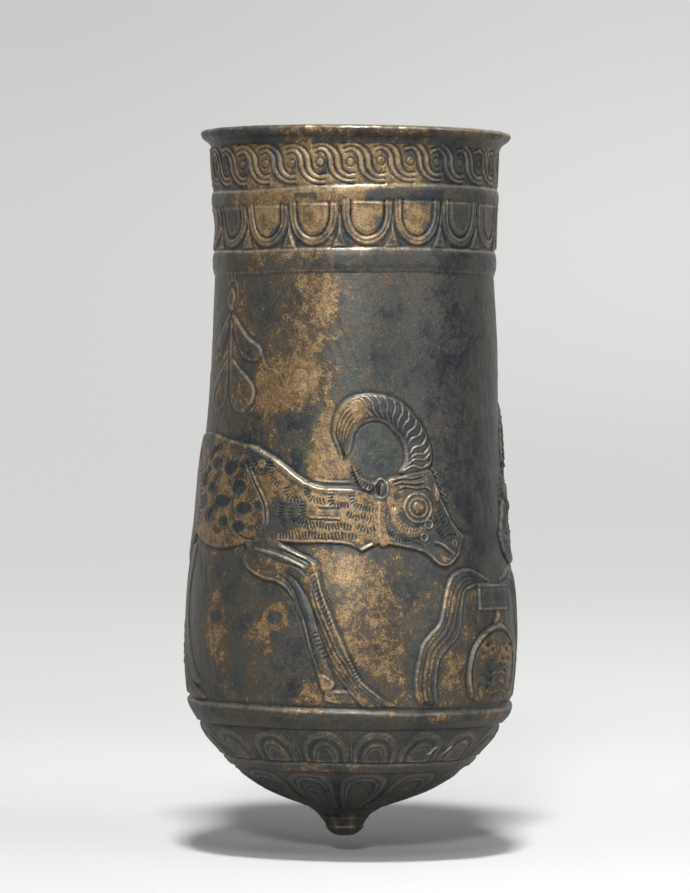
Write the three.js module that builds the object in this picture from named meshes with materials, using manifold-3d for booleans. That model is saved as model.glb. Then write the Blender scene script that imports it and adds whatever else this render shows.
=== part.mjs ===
// Situla: a beaker raised from sheet bronze, with a button foot that can't stand by itself.
// The wall carries a hammered frieze of two rams that face each other across a low plant,
// between a band of tongues and a running guilloche above and a plain band below.
// Millimetres, +Z up. The origin is at the tip of the foot, on the axis of the vessel.
// Angles on the wall are in degrees: 0 faces -Y and they grow towards +X.
import * as THREE from 'three';
import Module from 'manifold-3d';
import { mergeVertices } from 'three/addons/utils/BufferGeometryUtils.js';

const wasm = await Module();
wasm.setup();
const { Manifold } = wasm;

// Heights of the zones of the outside, from the tip of the foot upwards
const lapHeight = 24.2;
const lapBandHeight = 5.3;
const fieldHeight = 89.9;
const lowerRidgeHeight = 5.1;
const tongueBandHeight = 8.9;
const upperRidgeHeight = 4.4;
const guillocheHeight = 9.2;
const rimHeight = 3.0;

// Radii of the outside
const footFlangeRadius = 6.0;
const lapRadius = 32.4;
const ledgeRadius = 34.4;
const neckRadius = 29.8;
const rimRadius = 32.8;
const rimFlare = 0.8;

// Handles of the two smooth outlines, as radius and height
const bellyPull = 2.5;
const bellyPullHeight = 28.5;
const waistPull = 0.2;
const waistPullHeight = 45.4;
const bowlFlare = 11.0;
const bowlFlareRise = 3.0;
const bowlSideDrop = 9.2;
const bowlSideInset = 3.7;

// Sheet and joints
const wallThickness = 1.0;
const lapEdgeThickness = 0.4;
const bowlThickness = 0.9;
const collarReach = 1.7;
const seatClearance = 0.3;
const ridgeSwell = 0.45;
const ledgeSwell = 0.35;

// Button foot, its shank and the rove that the shank is hammered down on
const bowlFloorHeight = 5.0;
const footRestRadius = 1.5;
const footLipRadius = 4.15;
const footLipHeight = 2.1;
const shankRadius = 2.0;
const roveRadius = 4.4;
const roveThickness = 1.0;
const shankHeadRadius = 3.3;
const shankHeadHeight = 1.5;

// Hammered forms: how far they stand out, and how deep their roots lie in the sheet
const reliefHeight = 0.85;
const rootDepth = 0.4;
const edgeDepth = 0.22;
const guillocheCount = 30;
const tongueCount = 17;
const bowlTongueCount = 18;
const bowlPetalCount = 12;

// Places round the wall, in degrees
const heraldicAxis = 57.3;
const plantAxis = 60.5;
const palmetteAxis = -56.0;
const guillocheStart = -2;
const tongueStart = 4.5;
const bowlTongueStart = 10.5;
const bowlPetalStart = 8.5;

const wallFacets = 34;
const footFacets = 18;

const turn = 360;
const radian = Math.PI / 180;
const axis = new THREE.Vector2(0, 0);

// Heights where one zone of the wall ends and the next starts
const ledgeHeight = lapHeight + lapBandHeight;
const fieldTop = ledgeHeight + fieldHeight;
const tongueBase = fieldTop + lowerRidgeHeight;
const tongueTop = tongueBase + tongueBandHeight;
const guillocheBase = tongueTop + upperRidgeHeight;
const guillocheTop = guillocheBase + guillocheHeight;
const rimTop = guillocheTop + rimHeight;

const outline = (pairs) => pairs.map(([radius, height]) => new THREE.Vector2(radius, height));

// Moves an outline that runs upwards inwards, square to itself, by a distance at each point.
function offsetOutline(points, distanceAt) {
  return points.map((point, index) => {
    const before = points[Math.max(index - 1, 0)];
    const after = points[Math.min(index + 1, points.length - 1)];
    const along = after.clone().sub(before).normalize();
    const outward = new THREE.Vector2(along.y, -along.x);
    return point.clone().addScaledVector(outward, -distanceAt(point));
  });
}

const field = new THREE.CubicBezierCurve(
  new THREE.Vector2(ledgeRadius, ledgeHeight),
  new THREE.Vector2(ledgeRadius + bellyPull, ledgeHeight + bellyPullHeight),
  new THREE.Vector2(neckRadius + waistPull, fieldTop - waistPullHeight),
  new THREE.Vector2(neckRadius, fieldTop),
);

// A half-round ridge between two grooves, from its lower edge to just under its upper one.
function ridge(lowHeight, highHeight, radius) {
  return [[0.06, 0], [0.25, 0.85], [0.75, 1]].map(([step, swell]) => new THREE.Vector2(
    radius + ridgeSwell * swell,
    THREE.MathUtils.lerp(lowHeight, highHeight, step),
  ));
}

const bandRadius = (height) => THREE.MathUtils.mapLinear(
  height, fieldTop, guillocheTop, neckRadius, neckRadius + rimFlare,
);

const lapSlope = [[0, 0], [0.5, 0.28], [0.96, 0.6]].map(([out, up]) => new THREE.Vector2(
  THREE.MathUtils.lerp(lapRadius, ledgeRadius, out),
  lapHeight + up * lapBandHeight,
));
const ledge = new THREE.Vector2(ledgeRadius + ledgeSwell, lapHeight + 0.9 * lapBandHeight);
const fieldOutline = field.getPoints(6);
const bandOutline = [
  ...ridge(fieldTop, tongueBase, bandRadius(fieldTop)),
  new THREE.Vector2(bandRadius(tongueBase), tongueBase),
  ...ridge(tongueTop, guillocheBase, bandRadius(tongueTop)),
  new THREE.Vector2(bandRadius(guillocheBase), guillocheBase),
  new THREE.Vector2(bandRadius(guillocheTop), guillocheTop - 0.8),
];
const rimSection = [[-1.6, 0.03], [-0.3, 0.25], [0, 0.6], [-0.5, 1], [-1.7, 1]];
const rimOutline = rimSection.map(([out, up]) => new THREE.Vector2(
  rimRadius + out,
  guillocheTop + up * rimHeight,
));
const wallOutside = [...lapSlope, ledge, ...fieldOutline, ...bandOutline];

// The sheet is dressed thin towards the lap, so that only a small step shows there.
const wallSheet = ({ y }) => THREE.MathUtils.clamp(
  THREE.MathUtils.mapLinear(y, lapHeight, ledgeHeight, lapEdgeThickness, wallThickness),
  lapEdgeThickness,
  wallThickness,
);
const plainBand = outline([
  [bandRadius(fieldTop), fieldTop + 1],
  [bandRadius(guillocheBase), guillocheBase],
  [bandRadius(guillocheTop), guillocheTop],
]);
const wallInside = offsetOutline(
  [...lapSlope, ...field.getPoints(4), ...plainBand],
  wallSheet,
);
const lapInside = wallInside.slice(0, lapSlope.length);

// The bowl: a smooth curve from the foot to the lap, then a collar inside the wall.
const bowlRadius = lapRadius - lapEdgeThickness - seatClearance;
const bowl = new THREE.CubicBezierCurve(
  new THREE.Vector2(footFlangeRadius, bowlFloorHeight),
  new THREE.Vector2(footFlangeRadius + bowlFlare, bowlFloorHeight + bowlFlareRise),
  new THREE.Vector2(bowlRadius - bowlSideInset, lapHeight - bowlSideDrop),
  new THREE.Vector2(bowlRadius, lapHeight),
);
const collarOutside = [
  ...offsetOutline(lapInside, () => seatClearance).slice(1),
  new THREE.Vector2(ledgeRadius - wallThickness - seatClearance, ledgeHeight + collarReach),
];

// A skin gives the point of an outline at a measure, and a place at an angle and a height
// above the surface. The wall is measured by height, the bowl by length from the foot.
function makeSkin(points, measures) {
  function at(measure) {
    const last = points.length - 2;
    const above = measures.findIndex((value) => value > measure);
    const index = above < 0 ? last : Math.min(Math.max(above - 1, 0), last);
    const span = measures[index + 1] - measures[index];
    const share = (measure - measures[index]) / span;
    const point = points[index].clone().lerp(points[index + 1], share);
    const along = points[index + 1].clone().sub(points[index]).normalize();
    return { point, outward: new THREE.Vector2(along.y, -along.x) };
  }
  function place(angle, measure, lift) {
    const { point, outward } = at(measure);
    const radius = point.x + outward.x * lift;
    return new THREE.Vector3(
      radius * Math.sin(angle * radian),
      -radius * Math.cos(angle * radian),
      point.y + outward.y * lift,
    );
  }
  return { at, place };
}

function lengthsAlong(points) {
  const lengths = [0];
  for (let index = 1; index < points.length; index += 1) {
    lengths.push(lengths[index - 1] + points[index].distanceTo(points[index - 1]));
  }
  return lengths;
}

const fieldSkinPoints = field.getPoints(60);
const bandSkinPoints = outline([
  [bandRadius(fieldTop), fieldTop],
  [bandRadius(guillocheTop), guillocheTop],
]);
const bowlSkinPoints = bowl.getPoints(60);
const fieldSkin = makeSkin(fieldSkinPoints, fieldSkinPoints.map((point) => point.y));
const bandSkin = makeSkin(bandSkinPoints, bandSkinPoints.map((point) => point.y));
const bowlSkin = makeSkin(bowlSkinPoints, lengthsAlong(bowlSkinPoints));
const bowlLength = lengthsAlong(bowlSkinPoints).at(-1);

// Turns a closed surface into a solid whose faces point outwards.
function solidFrom(positions, faces) {
  const corner = (index) => new THREE.Vector3().fromArray(positions, 3 * index);
  let volume = 0;
  for (let face = 0; face < faces.length; face += 3) {
    const [a, b, c] = [0, 1, 2].map((step) => corner(faces[face + step]));
    volume += a.dot(b.cross(c));
  }
  const outward = volume < 0 ? [...faces].reverse() : faces;
  return new Manifold(new wasm.Mesh({
    numProp: 3,
    vertProperties: new Float32Array(positions),
    triVerts: new Uint32Array(outward),
  }));
}

function revolved(points, segments) {
  const loop = [...points, points[0].clone()];
  const lathe = new THREE.LatheGeometry(loop, segments).rotateX(Math.PI / 2);
  lathe.deleteAttribute('normal');
  lathe.deleteAttribute('uv');
  const merged = mergeVertices(lathe, 1e-5);
  const index = Array.from(merged.index.array);
  const kept = [];
  for (let face = 0; face < index.length; face += 3) {
    const [a, b, c] = index.slice(face, face + 3);
    if (a !== b && b !== c && c !== a) kept.push(a, b, c);
  }
  return solidFrom(Array.from(merged.attributes.position.array), kept);
}

const smooth = (pairs) => new THREE.SplineCurve(
  pairs.map(([angle, measure]) => new THREE.Vector2(angle, measure)),
);

// Sections of hammered forms, from edge to edge: share of the width, share of the height.
const crowned = [[0, 0], [0.1, 0.8], [0.5, 1], [0.9, 0.8], [1, 0]];
const rounded = [[0, 0], [0.25, 0.9], [0.75, 0.9], [1, 0]];
const keeled = [[0, 0], [0.5, 1], [1, 0]];
const fluted = [[0, 0], [0.2, 1], [0.5, 0.5], [0.8, 1], [1, 0]];
const flat = [[0, 0], [0.14, 1], [0.86, 1], [1, 0]];

const level = () => 1;
const taperedEnds = (along) => Math.min(1, 0.2 + 8 * Math.min(along, 1 - along));

// A raised strip between two edge lines on a skin, closed at both ends.
function strip(skin, edgeA, edgeB, { stations, section, rise, swell = level }) {
  const curveA = smooth(edgeA);
  const curveB = smooth(edgeB);
  const positions = [];
  for (let station = 0; station <= stations; station += 1) {
    const along = station / stations;
    const a = curveA.getPointAt(along);
    const b = curveB.getPointAt(along);
    for (const [across, share] of section) {
      const spot = a.clone().lerp(b, across);
      const lift = share > 0 ? share * rise * swell(along) : -edgeDepth;
      positions.push(...skin.place(spot.x, spot.y, lift).toArray());
    }
    positions.push(...skin.place(b.x, b.y, -rootDepth).toArray());
    positions.push(...skin.place(a.x, a.y, -rootDepth).toArray());
  }
  const size = section.length + 2;
  const faces = [];
  for (let station = 0; station < stations; station += 1) {
    for (let step = 0; step < size; step += 1) {
      const here = station * size + step;
      const next = station * size + ((step + 1) % size);
      faces.push(here, next, next + size, here, next + size, here + size);
    }
  }
  const end = stations * size;
  for (let step = 0; step < size - 2; step += 1) {
    faces.push(size - 1, step + 1, step, end + size - 1, end + step, end + step + 1);
  }
  return solidFrom(positions, faces);
}

// A raised cord along a line on a skin, with its half width in millimetres.
function cord(skin, line, halfWidth, options) {
  const curve = smooth(line);
  const edges = [-1, 1].map((side) => {
    const steps = Array.from({ length: options.stations + 1 }, (_, step) => step / options.stations);
    return steps.map((along) => {
      const spot = curve.getPointAt(along);
      const scale = skin.at(spot.y).point.x * radian;
      const ahead = curve.getPointAt(Math.min(along + 0.01, 1));
      const behind = curve.getPointAt(Math.max(along - 0.01, 0));
      const tangent = new THREE.Vector2((ahead.x - behind.x) * scale, ahead.y - behind.y);
      tangent.normalize();
      return [spot.x - (side * tangent.y * halfWidth) / scale, spot.y + side * tangent.x * halfWidth];
    });
  });
  return strip(skin, edges[0], edges[1], options);
}

// A pointed boss on a skin, like the mark of a round punch struck from behind.
function boss(skin, angle, measure, radius, rise, sides) {
  const scale = skin.at(measure).point.x * radian;
  const ring = Array.from({ length: sides }, (_, side) => {
    const direction = (turn * radian * side) / sides;
    const across = (radius * Math.cos(direction)) / scale;
    return skin.place(angle + across, measure + radius * Math.sin(direction), -rootDepth).toArray();
  });
  const points = [ring, skin.place(angle, measure, rise).toArray()].flat(2);
  const faces = [];
  for (let side = 0; side < sides; side += 1) {
    faces.push(side, (side + 1) % sides, sides);
    if (side > 1) faces.push(0, side, side - 1);
  }
  return solidFrom(points, faces);
}

const around = (count, start) => Array.from(
  { length: count },
  (_, index) => start + (turn / count) * index,
);

// One guilloche unit: a boss, and the strand that runs over it and under the next one.
function guillocheUnit(angle) {
  const middle = (guillocheBase + guillocheTop) / 2;
  const pitch = turn / guillocheCount;
  const reach = guillocheHeight / 2 - 1.0;
  const course = [[-0.38, 0.5], [0, 1], [0.4, 0.6], [0.6, -0.6], [1, -1], [1.33, -0.75]];
  const strand = course.map(([pitches, reaches]) => [
    angle + pitches * pitch,
    middle + reaches * reach,
  ]);
  return [
    boss(bandSkin, angle, middle, 1.3, 0.45, 5),
    cord(bandSkin, strand, 0.8, { stations: 3, section: keeled, rise: 0.5 }),
  ];
}

// A round-ended pad across an angle, whose second end is the round one.
function pad(skin, angle, halfAngle, fromMeasure, toMeasure, { rise, stations }) {
  const edge = (side) => Array.from({ length: stations + 1 }, (_, step) => {
    const along = Math.sin((Math.PI / 2) * (step / stations));
    const nose = Math.max(0, (along - 0.4) / 0.6);
    const width = halfAngle * Math.sqrt(1 - 0.95 * nose * nose);
    return [angle + side * width, THREE.MathUtils.lerp(fromMeasure, toMeasure, along)];
  });
  return strip(skin, edge(-1), edge(1), { stations, section: flat, rise });
}

const hangingTongue = (angle) => pad(
  bandSkin, angle, (0.47 * turn) / tongueCount, tongueTop - 0.1, tongueBase + 0.45,
  { rise: 0.5, stations: 3 },
);

// The bowl's outline: plain round the petals, a ridge, and plain again behind the tongues
const ridgeSection = [[0.69, 0], [0.705, 0.85], [0.75, 1], [0.77, 0]];
const bowlOutline = [
  ...[0, 0.15, 0.32, 0.5].map((share) => [share, 0]),
  ...ridgeSection,
  ...[0.88, 1].map((share) => [share, 0]),
].map(([share, swell]) => {
  const { point, outward } = bowlSkin.at(share * bowlLength);
  return point.clone().addScaledVector(outward, swell * ridgeSwell);
});
const petalRootLength = 0.12 * bowlLength;
const petalTopLength = 0.67 * bowlLength;
const bowlTongueRootLength = 0.78 * bowlLength;
const bowlTongueTopLength = 0.96 * bowlLength;

const bowlTongue = (angle) => pad(
  bowlSkin, angle, (0.43 * turn) / bowlTongueCount, bowlTongueRootLength, bowlTongueTopLength,
  { rise: 0.45, stations: 3 },
);
const bowlPetal = (angle) => pad(
  bowlSkin, angle, (0.44 * turn) / bowlPetalCount, petalRootLength, petalTopLength,
  { rise: 0.45, stations: 3 },
);

// The ram, drawn as it faces right. Heights are above the ledge, so the drawing stays on
// its ground line when the wall grows.
function ram(mirrored) {
  const drawn = (pairs) => pairs.map(([angle, height]) => [
    mirrored ? 2 * heraldicAxis - angle : angle,
    ledgeHeight + height,
  ]);
  const form = (edgeA, edgeB, options) => strip(fieldSkin, drawn(edgeA), drawn(edgeB), options);
  const stroke = (line, halfWidth, options) => cord(fieldSkin, drawn(line), halfWidth, options);
  const [eyeAngle, eyeHeight] = drawn([[24.5, 41.3]])[0];

  const body = form(
    [[11, 33.6], [-8, 33.7], [-24, 33.9], [-38, 34.5], [-52, 32.5], [-68, 33.5], [-84, 38], [-101, 43]],
    [[11, 43.8], [-8, 45.3], [-21, 48], [-35, 52.7], [-52, 54.8], [-70, 56], [-86, 55.3], [-101, 50]],
    { stations: 12, section: crowned, rise: reliefHeight, swell: taperedEnds },
  );
  const shoulder = form(
    [[-33, 37], [-36, 34.2], [-42, 32.2], [-48, 33.5]],
    [[-34, 44], [-40, 50], [-46, 51.5], [-54, 47]],
    { stations: 5, section: rounded, rise: reliefHeight * 1.35, swell: taperedEnds },
  );
  const skull = form(
    [[9, 33.4], [18, 33.4], [26, 31.9], [33, 29.5], [38, 30.1], [42.5, 32.8]],
    [[9, 45], [16, 47.4], [27, 48.6], [33, 44.8], [38, 40.2], [43.2, 35.8]],
    { stations: 7, section: crowned, rise: reliefHeight * 1.1, swell: taperedEnds },
  );
  const ribCount = 9;
  const ribbed = (along) => {
    const ribs = Math.abs(Math.sin(Math.PI * ribCount * Math.max(0, along - 0.3) / 0.7));
    return Math.min(1, 0.35 + 3 * along) * (0.72 + 0.4 * ribs);
  };
  const horn = form(
    [[-4.2, 51.6], [-7.6, 56.5], [-6.4, 60.5], [-2, 63.5], [6, 64.5], [15, 63.7], [23, 60.6],
      [29, 56], [31, 51], [29.5, 45.5]],
    [[-3.4, 51.8], [-2.8, 54.5], [-0.6, 56.6], [4, 58.6], [9.5, 59], [14.5, 58], [18.8, 55.8],
      [20.6, 52.8], [19.2, 49.4], [16.5, 46.8]],
    { stations: 26, section: rounded, rise: reliefHeight * 1.15, swell: ribbed },
  );
  const ear = form(
    [[0.3, 50.4], [4, 47.5], [9, 46.7]],
    [[0, 49.6], [2.2, 45.8], [7.5, 43.6]],
    { stations: 3, section: keeled, rise: reliefHeight * 1.2 },
  );
  const eye = boss(fieldSkin, eyeAngle, eyeHeight, 3.1, reliefHeight * 1.7, 9);

  const nearForeleg = form(
    [[-40, 27.8], [-27, 27.2], [-20, 23.4], [-14.5, 15], [-10, 8], [-4, 3.2], [2, 0.7]],
    [[-36, 34.4], [-22, 32.2], [-12, 29.8], [-8.5, 23.5], [-3.5, 14.2], [3, 6.2], [14.5, 0.7]],
    { stations: 7, section: fluted, rise: reliefHeight * 0.95 },
  );
  const farForeleg = form(
    [[-34, 24.6], [-26, 24.5], [-20.5, 21.5], [-15.5, 13.5], [-12.5, 6.5], [-9.5, 1]],
    [[-34, 27.5], [-25, 27.2], [-16.5, 21.5], [-11.5, 14.5], [-8, 8.5], [-2, 1]],
    { stations: 4, section: keeled, rise: reliefHeight * 0.7 },
  );
  const haunch = form(
    [[-74, 33.5], [-80, 31], [-88, 27.5], [-96, 27]],
    [[-78, 50], [-88, 53.5], [-98, 50], [-104, 40]],
    { stations: 5, section: rounded, rise: reliefHeight * 1.3, swell: taperedEnds },
  );
  const hindLeg = form(
    [[-100, 36], [-99, 27], [-97, 20], [-92, 12.5], [-84, 6.5], [-76, 0.7]],
    [[-86, 31], [-88, 26], [-88, 20], [-83, 13.5], [-74, 7.5], [-61, 0.7]],
    { stations: 6, section: fluted, rise: reliefHeight * 0.9 },
  );
  const tail = form(
    [[-101, 50.5], [-106, 49], [-109, 44], [-108.5, 39]],
    [[-101, 46], [-104, 45], [-106, 42], [-107.5, 38.5]],
    { stations: 3, section: keeled, rise: reliefHeight * 0.9 },
  );
  return [body, shoulder, skull, horn, ear, eye, nearForeleg, farForeleg, haunch, hindLeg, tail];
}

// The low plant: two stems that arch inwards to a box, with a bulb below it. Angles are
// counted from its own axis.
function plant(axisAngle) {
  const side = (sign) => {
    const drawn = (pairs) => pairs.map(([angle, height]) => [
      axisAngle + sign * angle, ledgeHeight + height,
    ]);
    return strip(fieldSkin,
      drawn([[36.5, 0.8], [37.8, 6.5], [35.5, 13], [29.5, 17], [26.5, 22.8], [22, 27.2],
        [14, 28], [4, 26]]),
      drawn([[29, 0.8], [30, 6.5], [27.5, 11.5], [21, 15.6], [18.8, 20.5], [16.5, 23.8],
        [13, 25.2], [4, 24.6]]),
      { stations: 7, section: fluted, rise: reliefHeight * 0.8 });
  };
  const centred = (pairs) => pairs.map(([angle, height]) => [
    axisAngle + angle, ledgeHeight + height,
  ]);
  const box = strip(fieldSkin, centred([[-10.5, 20], [0, 19.8], [10.5, 20]]),
    centred([[-10.5, 25], [0, 25.2], [10.5, 25]]),
    { stations: 3, section: flat, rise: reliefHeight * 0.75 });
  const stalk = cord(fieldSkin, centred([[0, 20.3], [0, 16]]), 0.9,
    { stations: 2, section: rounded, rise: reliefHeight * 0.8 });
  const bulb = strip(fieldSkin,
    centred([[-16.6, 6], [-14.5, 2.2], [-8, 0.7], [0, 0.6], [8, 0.7], [14.5, 2.2], [16.6, 6]]),
    centred([[-16.6, 7.4], [-14, 12], [-8, 15.6], [0, 17], [8, 15.6], [14, 12], [16.6, 7.4]]),
    { stations: 7, section: crowned, rise: reliefHeight * 0.85 });
  return [side(-1), side(1), box, stalk, bulb];
}

// The palmette that hangs from the top of the field over a ram's back. Angles are counted
// from its own rib and heights down from the top of the field.
function palmette(axisAngle) {
  const leaf = (sign, upper, lower, stations) => {
    const drawn = (pairs) => pairs.map(([angle, drop]) => [axisAngle + sign * angle, fieldTop - drop]);
    return strip(fieldSkin, drawn(upper), drawn(lower),
      { stations, section: keeled, rise: reliefHeight * 0.7 });
  };
  const sides = [-1, 1].flatMap((sign) => [
    leaf(sign, [[1, 8.8], [6, 11.8], [16, 15.6], [25, 18.8], [30, 23.4]],
      [[1, 11.6], [4.5, 15], [12, 18.4], [22, 20.4], [29, 24]], 5),
    leaf(sign, [[1.5, 18.4], [8, 21.4], [15, 24.6]], [[1.5, 21.8], [7, 24.8], [13.5, 26]], 3),
    leaf(sign, [[1, 25.4], [5, 27], [10.5, 28.2]], [[1, 27.4], [5, 28.6], [9.5, 28.8]], 2),
  ]);
  const rib = cord(fieldSkin, [[axisAngle, fieldTop - 7.6], [axisAngle, fieldTop - 25]], 0.6,
    { stations: 2, section: keeled, rise: reliefHeight * 0.7 });
  const fork = [-1, 1].map((sign) => cord(fieldSkin,
    [[axisAngle + sign * 0.6, fieldTop - 4.6], [axisAngle + sign * 3.5, fieldTop - 0.8]], 0.6,
    { stations: 1, section: keeled, rise: reliefHeight * 0.7 }));
  const knob = boss(fieldSkin, axisAngle, fieldTop - 5.9, 2.2, reliefHeight * 1.1, 7);
  return [...sides, rib, ...fork, knob];
}

const join = (solids) => solids.reduce((whole, solid) => whole.add(solid));

function asMesh(name, solid, colour, metalness, roughness) {
  const { vertProperties, triVerts, numProp } = solid.getMesh();
  const positions = new Float32Array((vertProperties.length / numProp) * 3);
  for (let index = 0; index * numProp < vertProperties.length; index += 1) {
    positions.set(vertProperties.subarray(index * numProp, index * numProp + 3), index * 3);
  }
  const geometry = new THREE.BufferGeometry();
  geometry.setAttribute('position', new THREE.BufferAttribute(positions, 3));
  geometry.setIndex(new THREE.BufferAttribute(new Uint32Array(triVerts), 1));
  geometry.computeVertexNormals();
  const material = new THREE.MeshStandardMaterial({ color: colour, metalness, roughness });
  const mesh = new THREE.Mesh(geometry, material);
  mesh.name = name;
  return mesh;
}

// The wall: one sheet, with every hammered form joined to it
const wallShell = revolved([...wallOutside, ...rimOutline, ...[...wallInside].reverse()], wallFacets);
const frieze = [
  ...ram(false),
  ...ram(true),
  ...plant(plantAxis),
  ...plant(heraldicAxis + turn / 2),
  ...palmette(palmetteAxis),
  ...palmette(2 * heraldicAxis - palmetteAxis),
];
const guilloche = around(guillocheCount, guillocheStart).flatMap(guillocheUnit);
const tongues = around(tongueCount, tongueStart).map(hangingTongue);
const wall = join([wallShell, ...frieze, ...guilloche, ...tongues]);

// The bowl: a second sheet, let up into the wall, with a hole for the shank in its floor
const holeRadius = shankRadius + seatClearance;
const bowlTopSurface = bowlFloorHeight + bowlThickness;
const bowlInside = offsetOutline(
  [...[0.17, 0.4, 0.65, 0.85, 1].map((share) => bowlSkin.at(share * bowlLength).point),
    ...collarOutside],
  () => bowlThickness,
);
const bowlShell = revolved([
  new THREE.Vector2(holeRadius, bowlFloorHeight),
  ...bowlOutline,
  ...collarOutside,
  ...[...bowlInside].reverse(),
  new THREE.Vector2(footFlangeRadius - bowlThickness / 2, bowlTopSurface),
  new THREE.Vector2(holeRadius, bowlTopSurface),
], wallFacets);
const baseBowl = join([
  bowlShell,
  ...around(bowlTongueCount, bowlTongueStart).map(bowlTongue),
  ...around(bowlPetalCount, bowlPetalStart).map(bowlPetal),
]);

// The foot: a cast button whose shank goes up through the bowl and is hammered over
const roveBase = bowlTopSurface + seatClearance;
const headBase = roveBase + roveThickness + seatClearance;
const flangeTop = bowlFloorHeight - seatClearance;
const footKnob = revolved([
  axis,
  ...outline([
    [footRestRadius, 0],
    [THREE.MathUtils.lerp(footRestRadius, footLipRadius, 0.5), 0.45],
    [footLipRadius - 0.45, 0.5 * footLipHeight],
    [footLipRadius, footLipHeight - 0.2],
    [footLipRadius, footLipHeight + 0.1],
    [footLipRadius + 0.1, footLipHeight + 0.6],
    [footFlangeRadius - 0.5, flangeTop - 0.7],
    [footFlangeRadius - 0.2, flangeTop - 0.4],
    [footFlangeRadius - 0.25, flangeTop],
    [shankRadius, flangeTop],
    [shankRadius, headBase],
    [shankHeadRadius, headBase],
    [shankHeadRadius - 0.2, headBase + 0.5 * shankHeadHeight],
    [shankHeadRadius - 1.2, headBase + 0.9 * shankHeadHeight],
    [0, headBase + shankHeadHeight],
  ]),
], footFacets);
const rivetRove = revolved(outline([
  [holeRadius, roveBase],
  [roveRadius - 0.15, roveBase],
  [roveRadius, roveBase + 0.5 * roveThickness],
  [roveRadius - 0.25, roveBase + roveThickness],
  [holeRadius, roveBase + roveThickness],
]), footFacets);

const situla = new THREE.Group();
situla.add(
  asMesh('wall', wall, 0x5a4a38, 0.85, 0.42),
  asMesh('base_bowl', baseBowl, 0x4a4136, 0.8, 0.5),
  asMesh('foot_knob', footKnob, 0x54452f, 0.85, 0.45),
  asMesh('rivet_rove', rivetRove, 0x6b5a3c, 0.8, 0.5),
);

export default situla;
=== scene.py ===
"""Situla: a beaker hammered from bronze sheet, with a frieze of facing rams.

The forms are hammered into flat sheets, laid out by angle round the beaker (degrees, 0 at the
front, growing to the right) and by height up it (mm from the tip of the foot). The sheets are then
rolled into the wall and the bowl. Drawings are in degrees and mm, the scene is in metres.
"""
import math

import bpy
import numpy as np
from mathutils import Matrix, Vector


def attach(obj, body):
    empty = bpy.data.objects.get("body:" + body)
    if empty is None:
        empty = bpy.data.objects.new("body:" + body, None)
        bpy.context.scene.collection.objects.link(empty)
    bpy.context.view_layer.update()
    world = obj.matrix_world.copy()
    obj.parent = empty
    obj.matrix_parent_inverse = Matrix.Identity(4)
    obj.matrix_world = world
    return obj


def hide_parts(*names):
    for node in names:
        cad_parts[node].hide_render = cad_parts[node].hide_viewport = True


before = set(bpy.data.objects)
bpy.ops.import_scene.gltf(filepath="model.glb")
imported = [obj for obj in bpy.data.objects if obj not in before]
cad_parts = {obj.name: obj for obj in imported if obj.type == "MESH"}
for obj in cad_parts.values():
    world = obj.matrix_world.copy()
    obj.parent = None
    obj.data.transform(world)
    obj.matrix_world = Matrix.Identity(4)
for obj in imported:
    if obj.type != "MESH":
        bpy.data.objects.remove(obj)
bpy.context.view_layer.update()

MM = 0.001
RADIAN = math.pi / 180

# Heights where one zone of the outside ends and the next starts
LAP = 24.8
LEDGE = 29.5
FIELD_TOP = 119.4
TONGUE_BASE = 124.5
TONGUE_TOP = 133.4
GUILLOCHE_BASE = 137.8
GUILLOCHE_MIDDLE = 142.5
GUILLOCHE_TOP = 147.0
BAND_JOINT = 134.0
RIM_JOINT = 146.2
RIM_TOP = 150.0

# Radii, and how thick the sheets are
LAP_RADIUS = 32.75
LEDGE_RADIUS = 34.4
NECK_RADIUS = 29.8
RIM_FLARE = 0.8
WALL_SHEET = 1.0
LAP_SHEET = 0.4
BOWL_SHEET = 0.9
SEAT = 0.3
BOWL_FLOOR = 4.95
FOOT_FLANGE = 6.0
SHANK = 2.0
FOOT_LEAN = 0.95

# Repeats and places round the beaker, in degrees
GUILLOCHES = 30
GUILLOCHE_START = -2.0
TONGUES = 17
TONGUE_START = 4.5
BOWL_TONGUES = 18
BOWL_TONGUE_START = 10.5
BOWL_PETALS = 12
BOWL_PETAL_START = 8.5
RIDGE_START = 21.9
RIDGE_END = 24.7
FACING_AXIS = 57.3
PLANT_AXIS = 60.5
PALMETTE_AXIS = -58.5

# How far apart the columns (degrees) and the rows (mm) of the hammered sheets are
COARSE = 1.0
FINE_TURN, PLAIN_TURN, BACK_TURN = 0.28, 0.36, 0.62
FIELD_ROW, FINE_ROW, FINE_ZONE = 0.205, 0.17, (58, 95)
BAND_TURN, BAND_ROW = 0.3, 0.2
LAP_TURN, LAP_ROW = 0.42, 0.18
RIM_TURN = 0.5
BOWL_TURN, TONGUE_ROW, PETAL_ROW = 0.4, 0.2, 0.24
BOWL_JOINT = 21.6
# Rows beyond each end of a sheet, so that wear runs on across a joint
OVERLAP = 9
# How far the surroundings reach that a worn edge stands above, in mm
NEAR = 0.9
# Points closer than this are one, in metres, and edges sharper than this show, in radians
WELD = 1e-6
SHARP = 1.25


# outlines
STEPS = 4


def line_of(points):
    """The points of a drawing as rows, from pairs or from one run of numbers."""
    return np.asarray(points, float).reshape(-1, 2)


def flowing(points, steps=STEPS):
    """A smooth line through the points of a drawing."""
    p = line_of(points)
    if len(p) < 3:
        return p
    padded = np.vstack([2 * p[0] - p[1], p, 2 * p[-1] - p[-2]])
    t = (np.arange(steps) / steps)[None, :, None]
    a, b, c, d = (padded[i:i + len(p) - 1, None, :] for i in range(4))
    curve = 0.5 * (2 * b + (c - a) * t + (2 * a - 5 * b + 4 * c - d) * t * t
                   + (3 * b - a - 3 * c + d) * t ** 3)
    return np.vstack([curve.reshape(-1, 2), p[-1:]])


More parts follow.
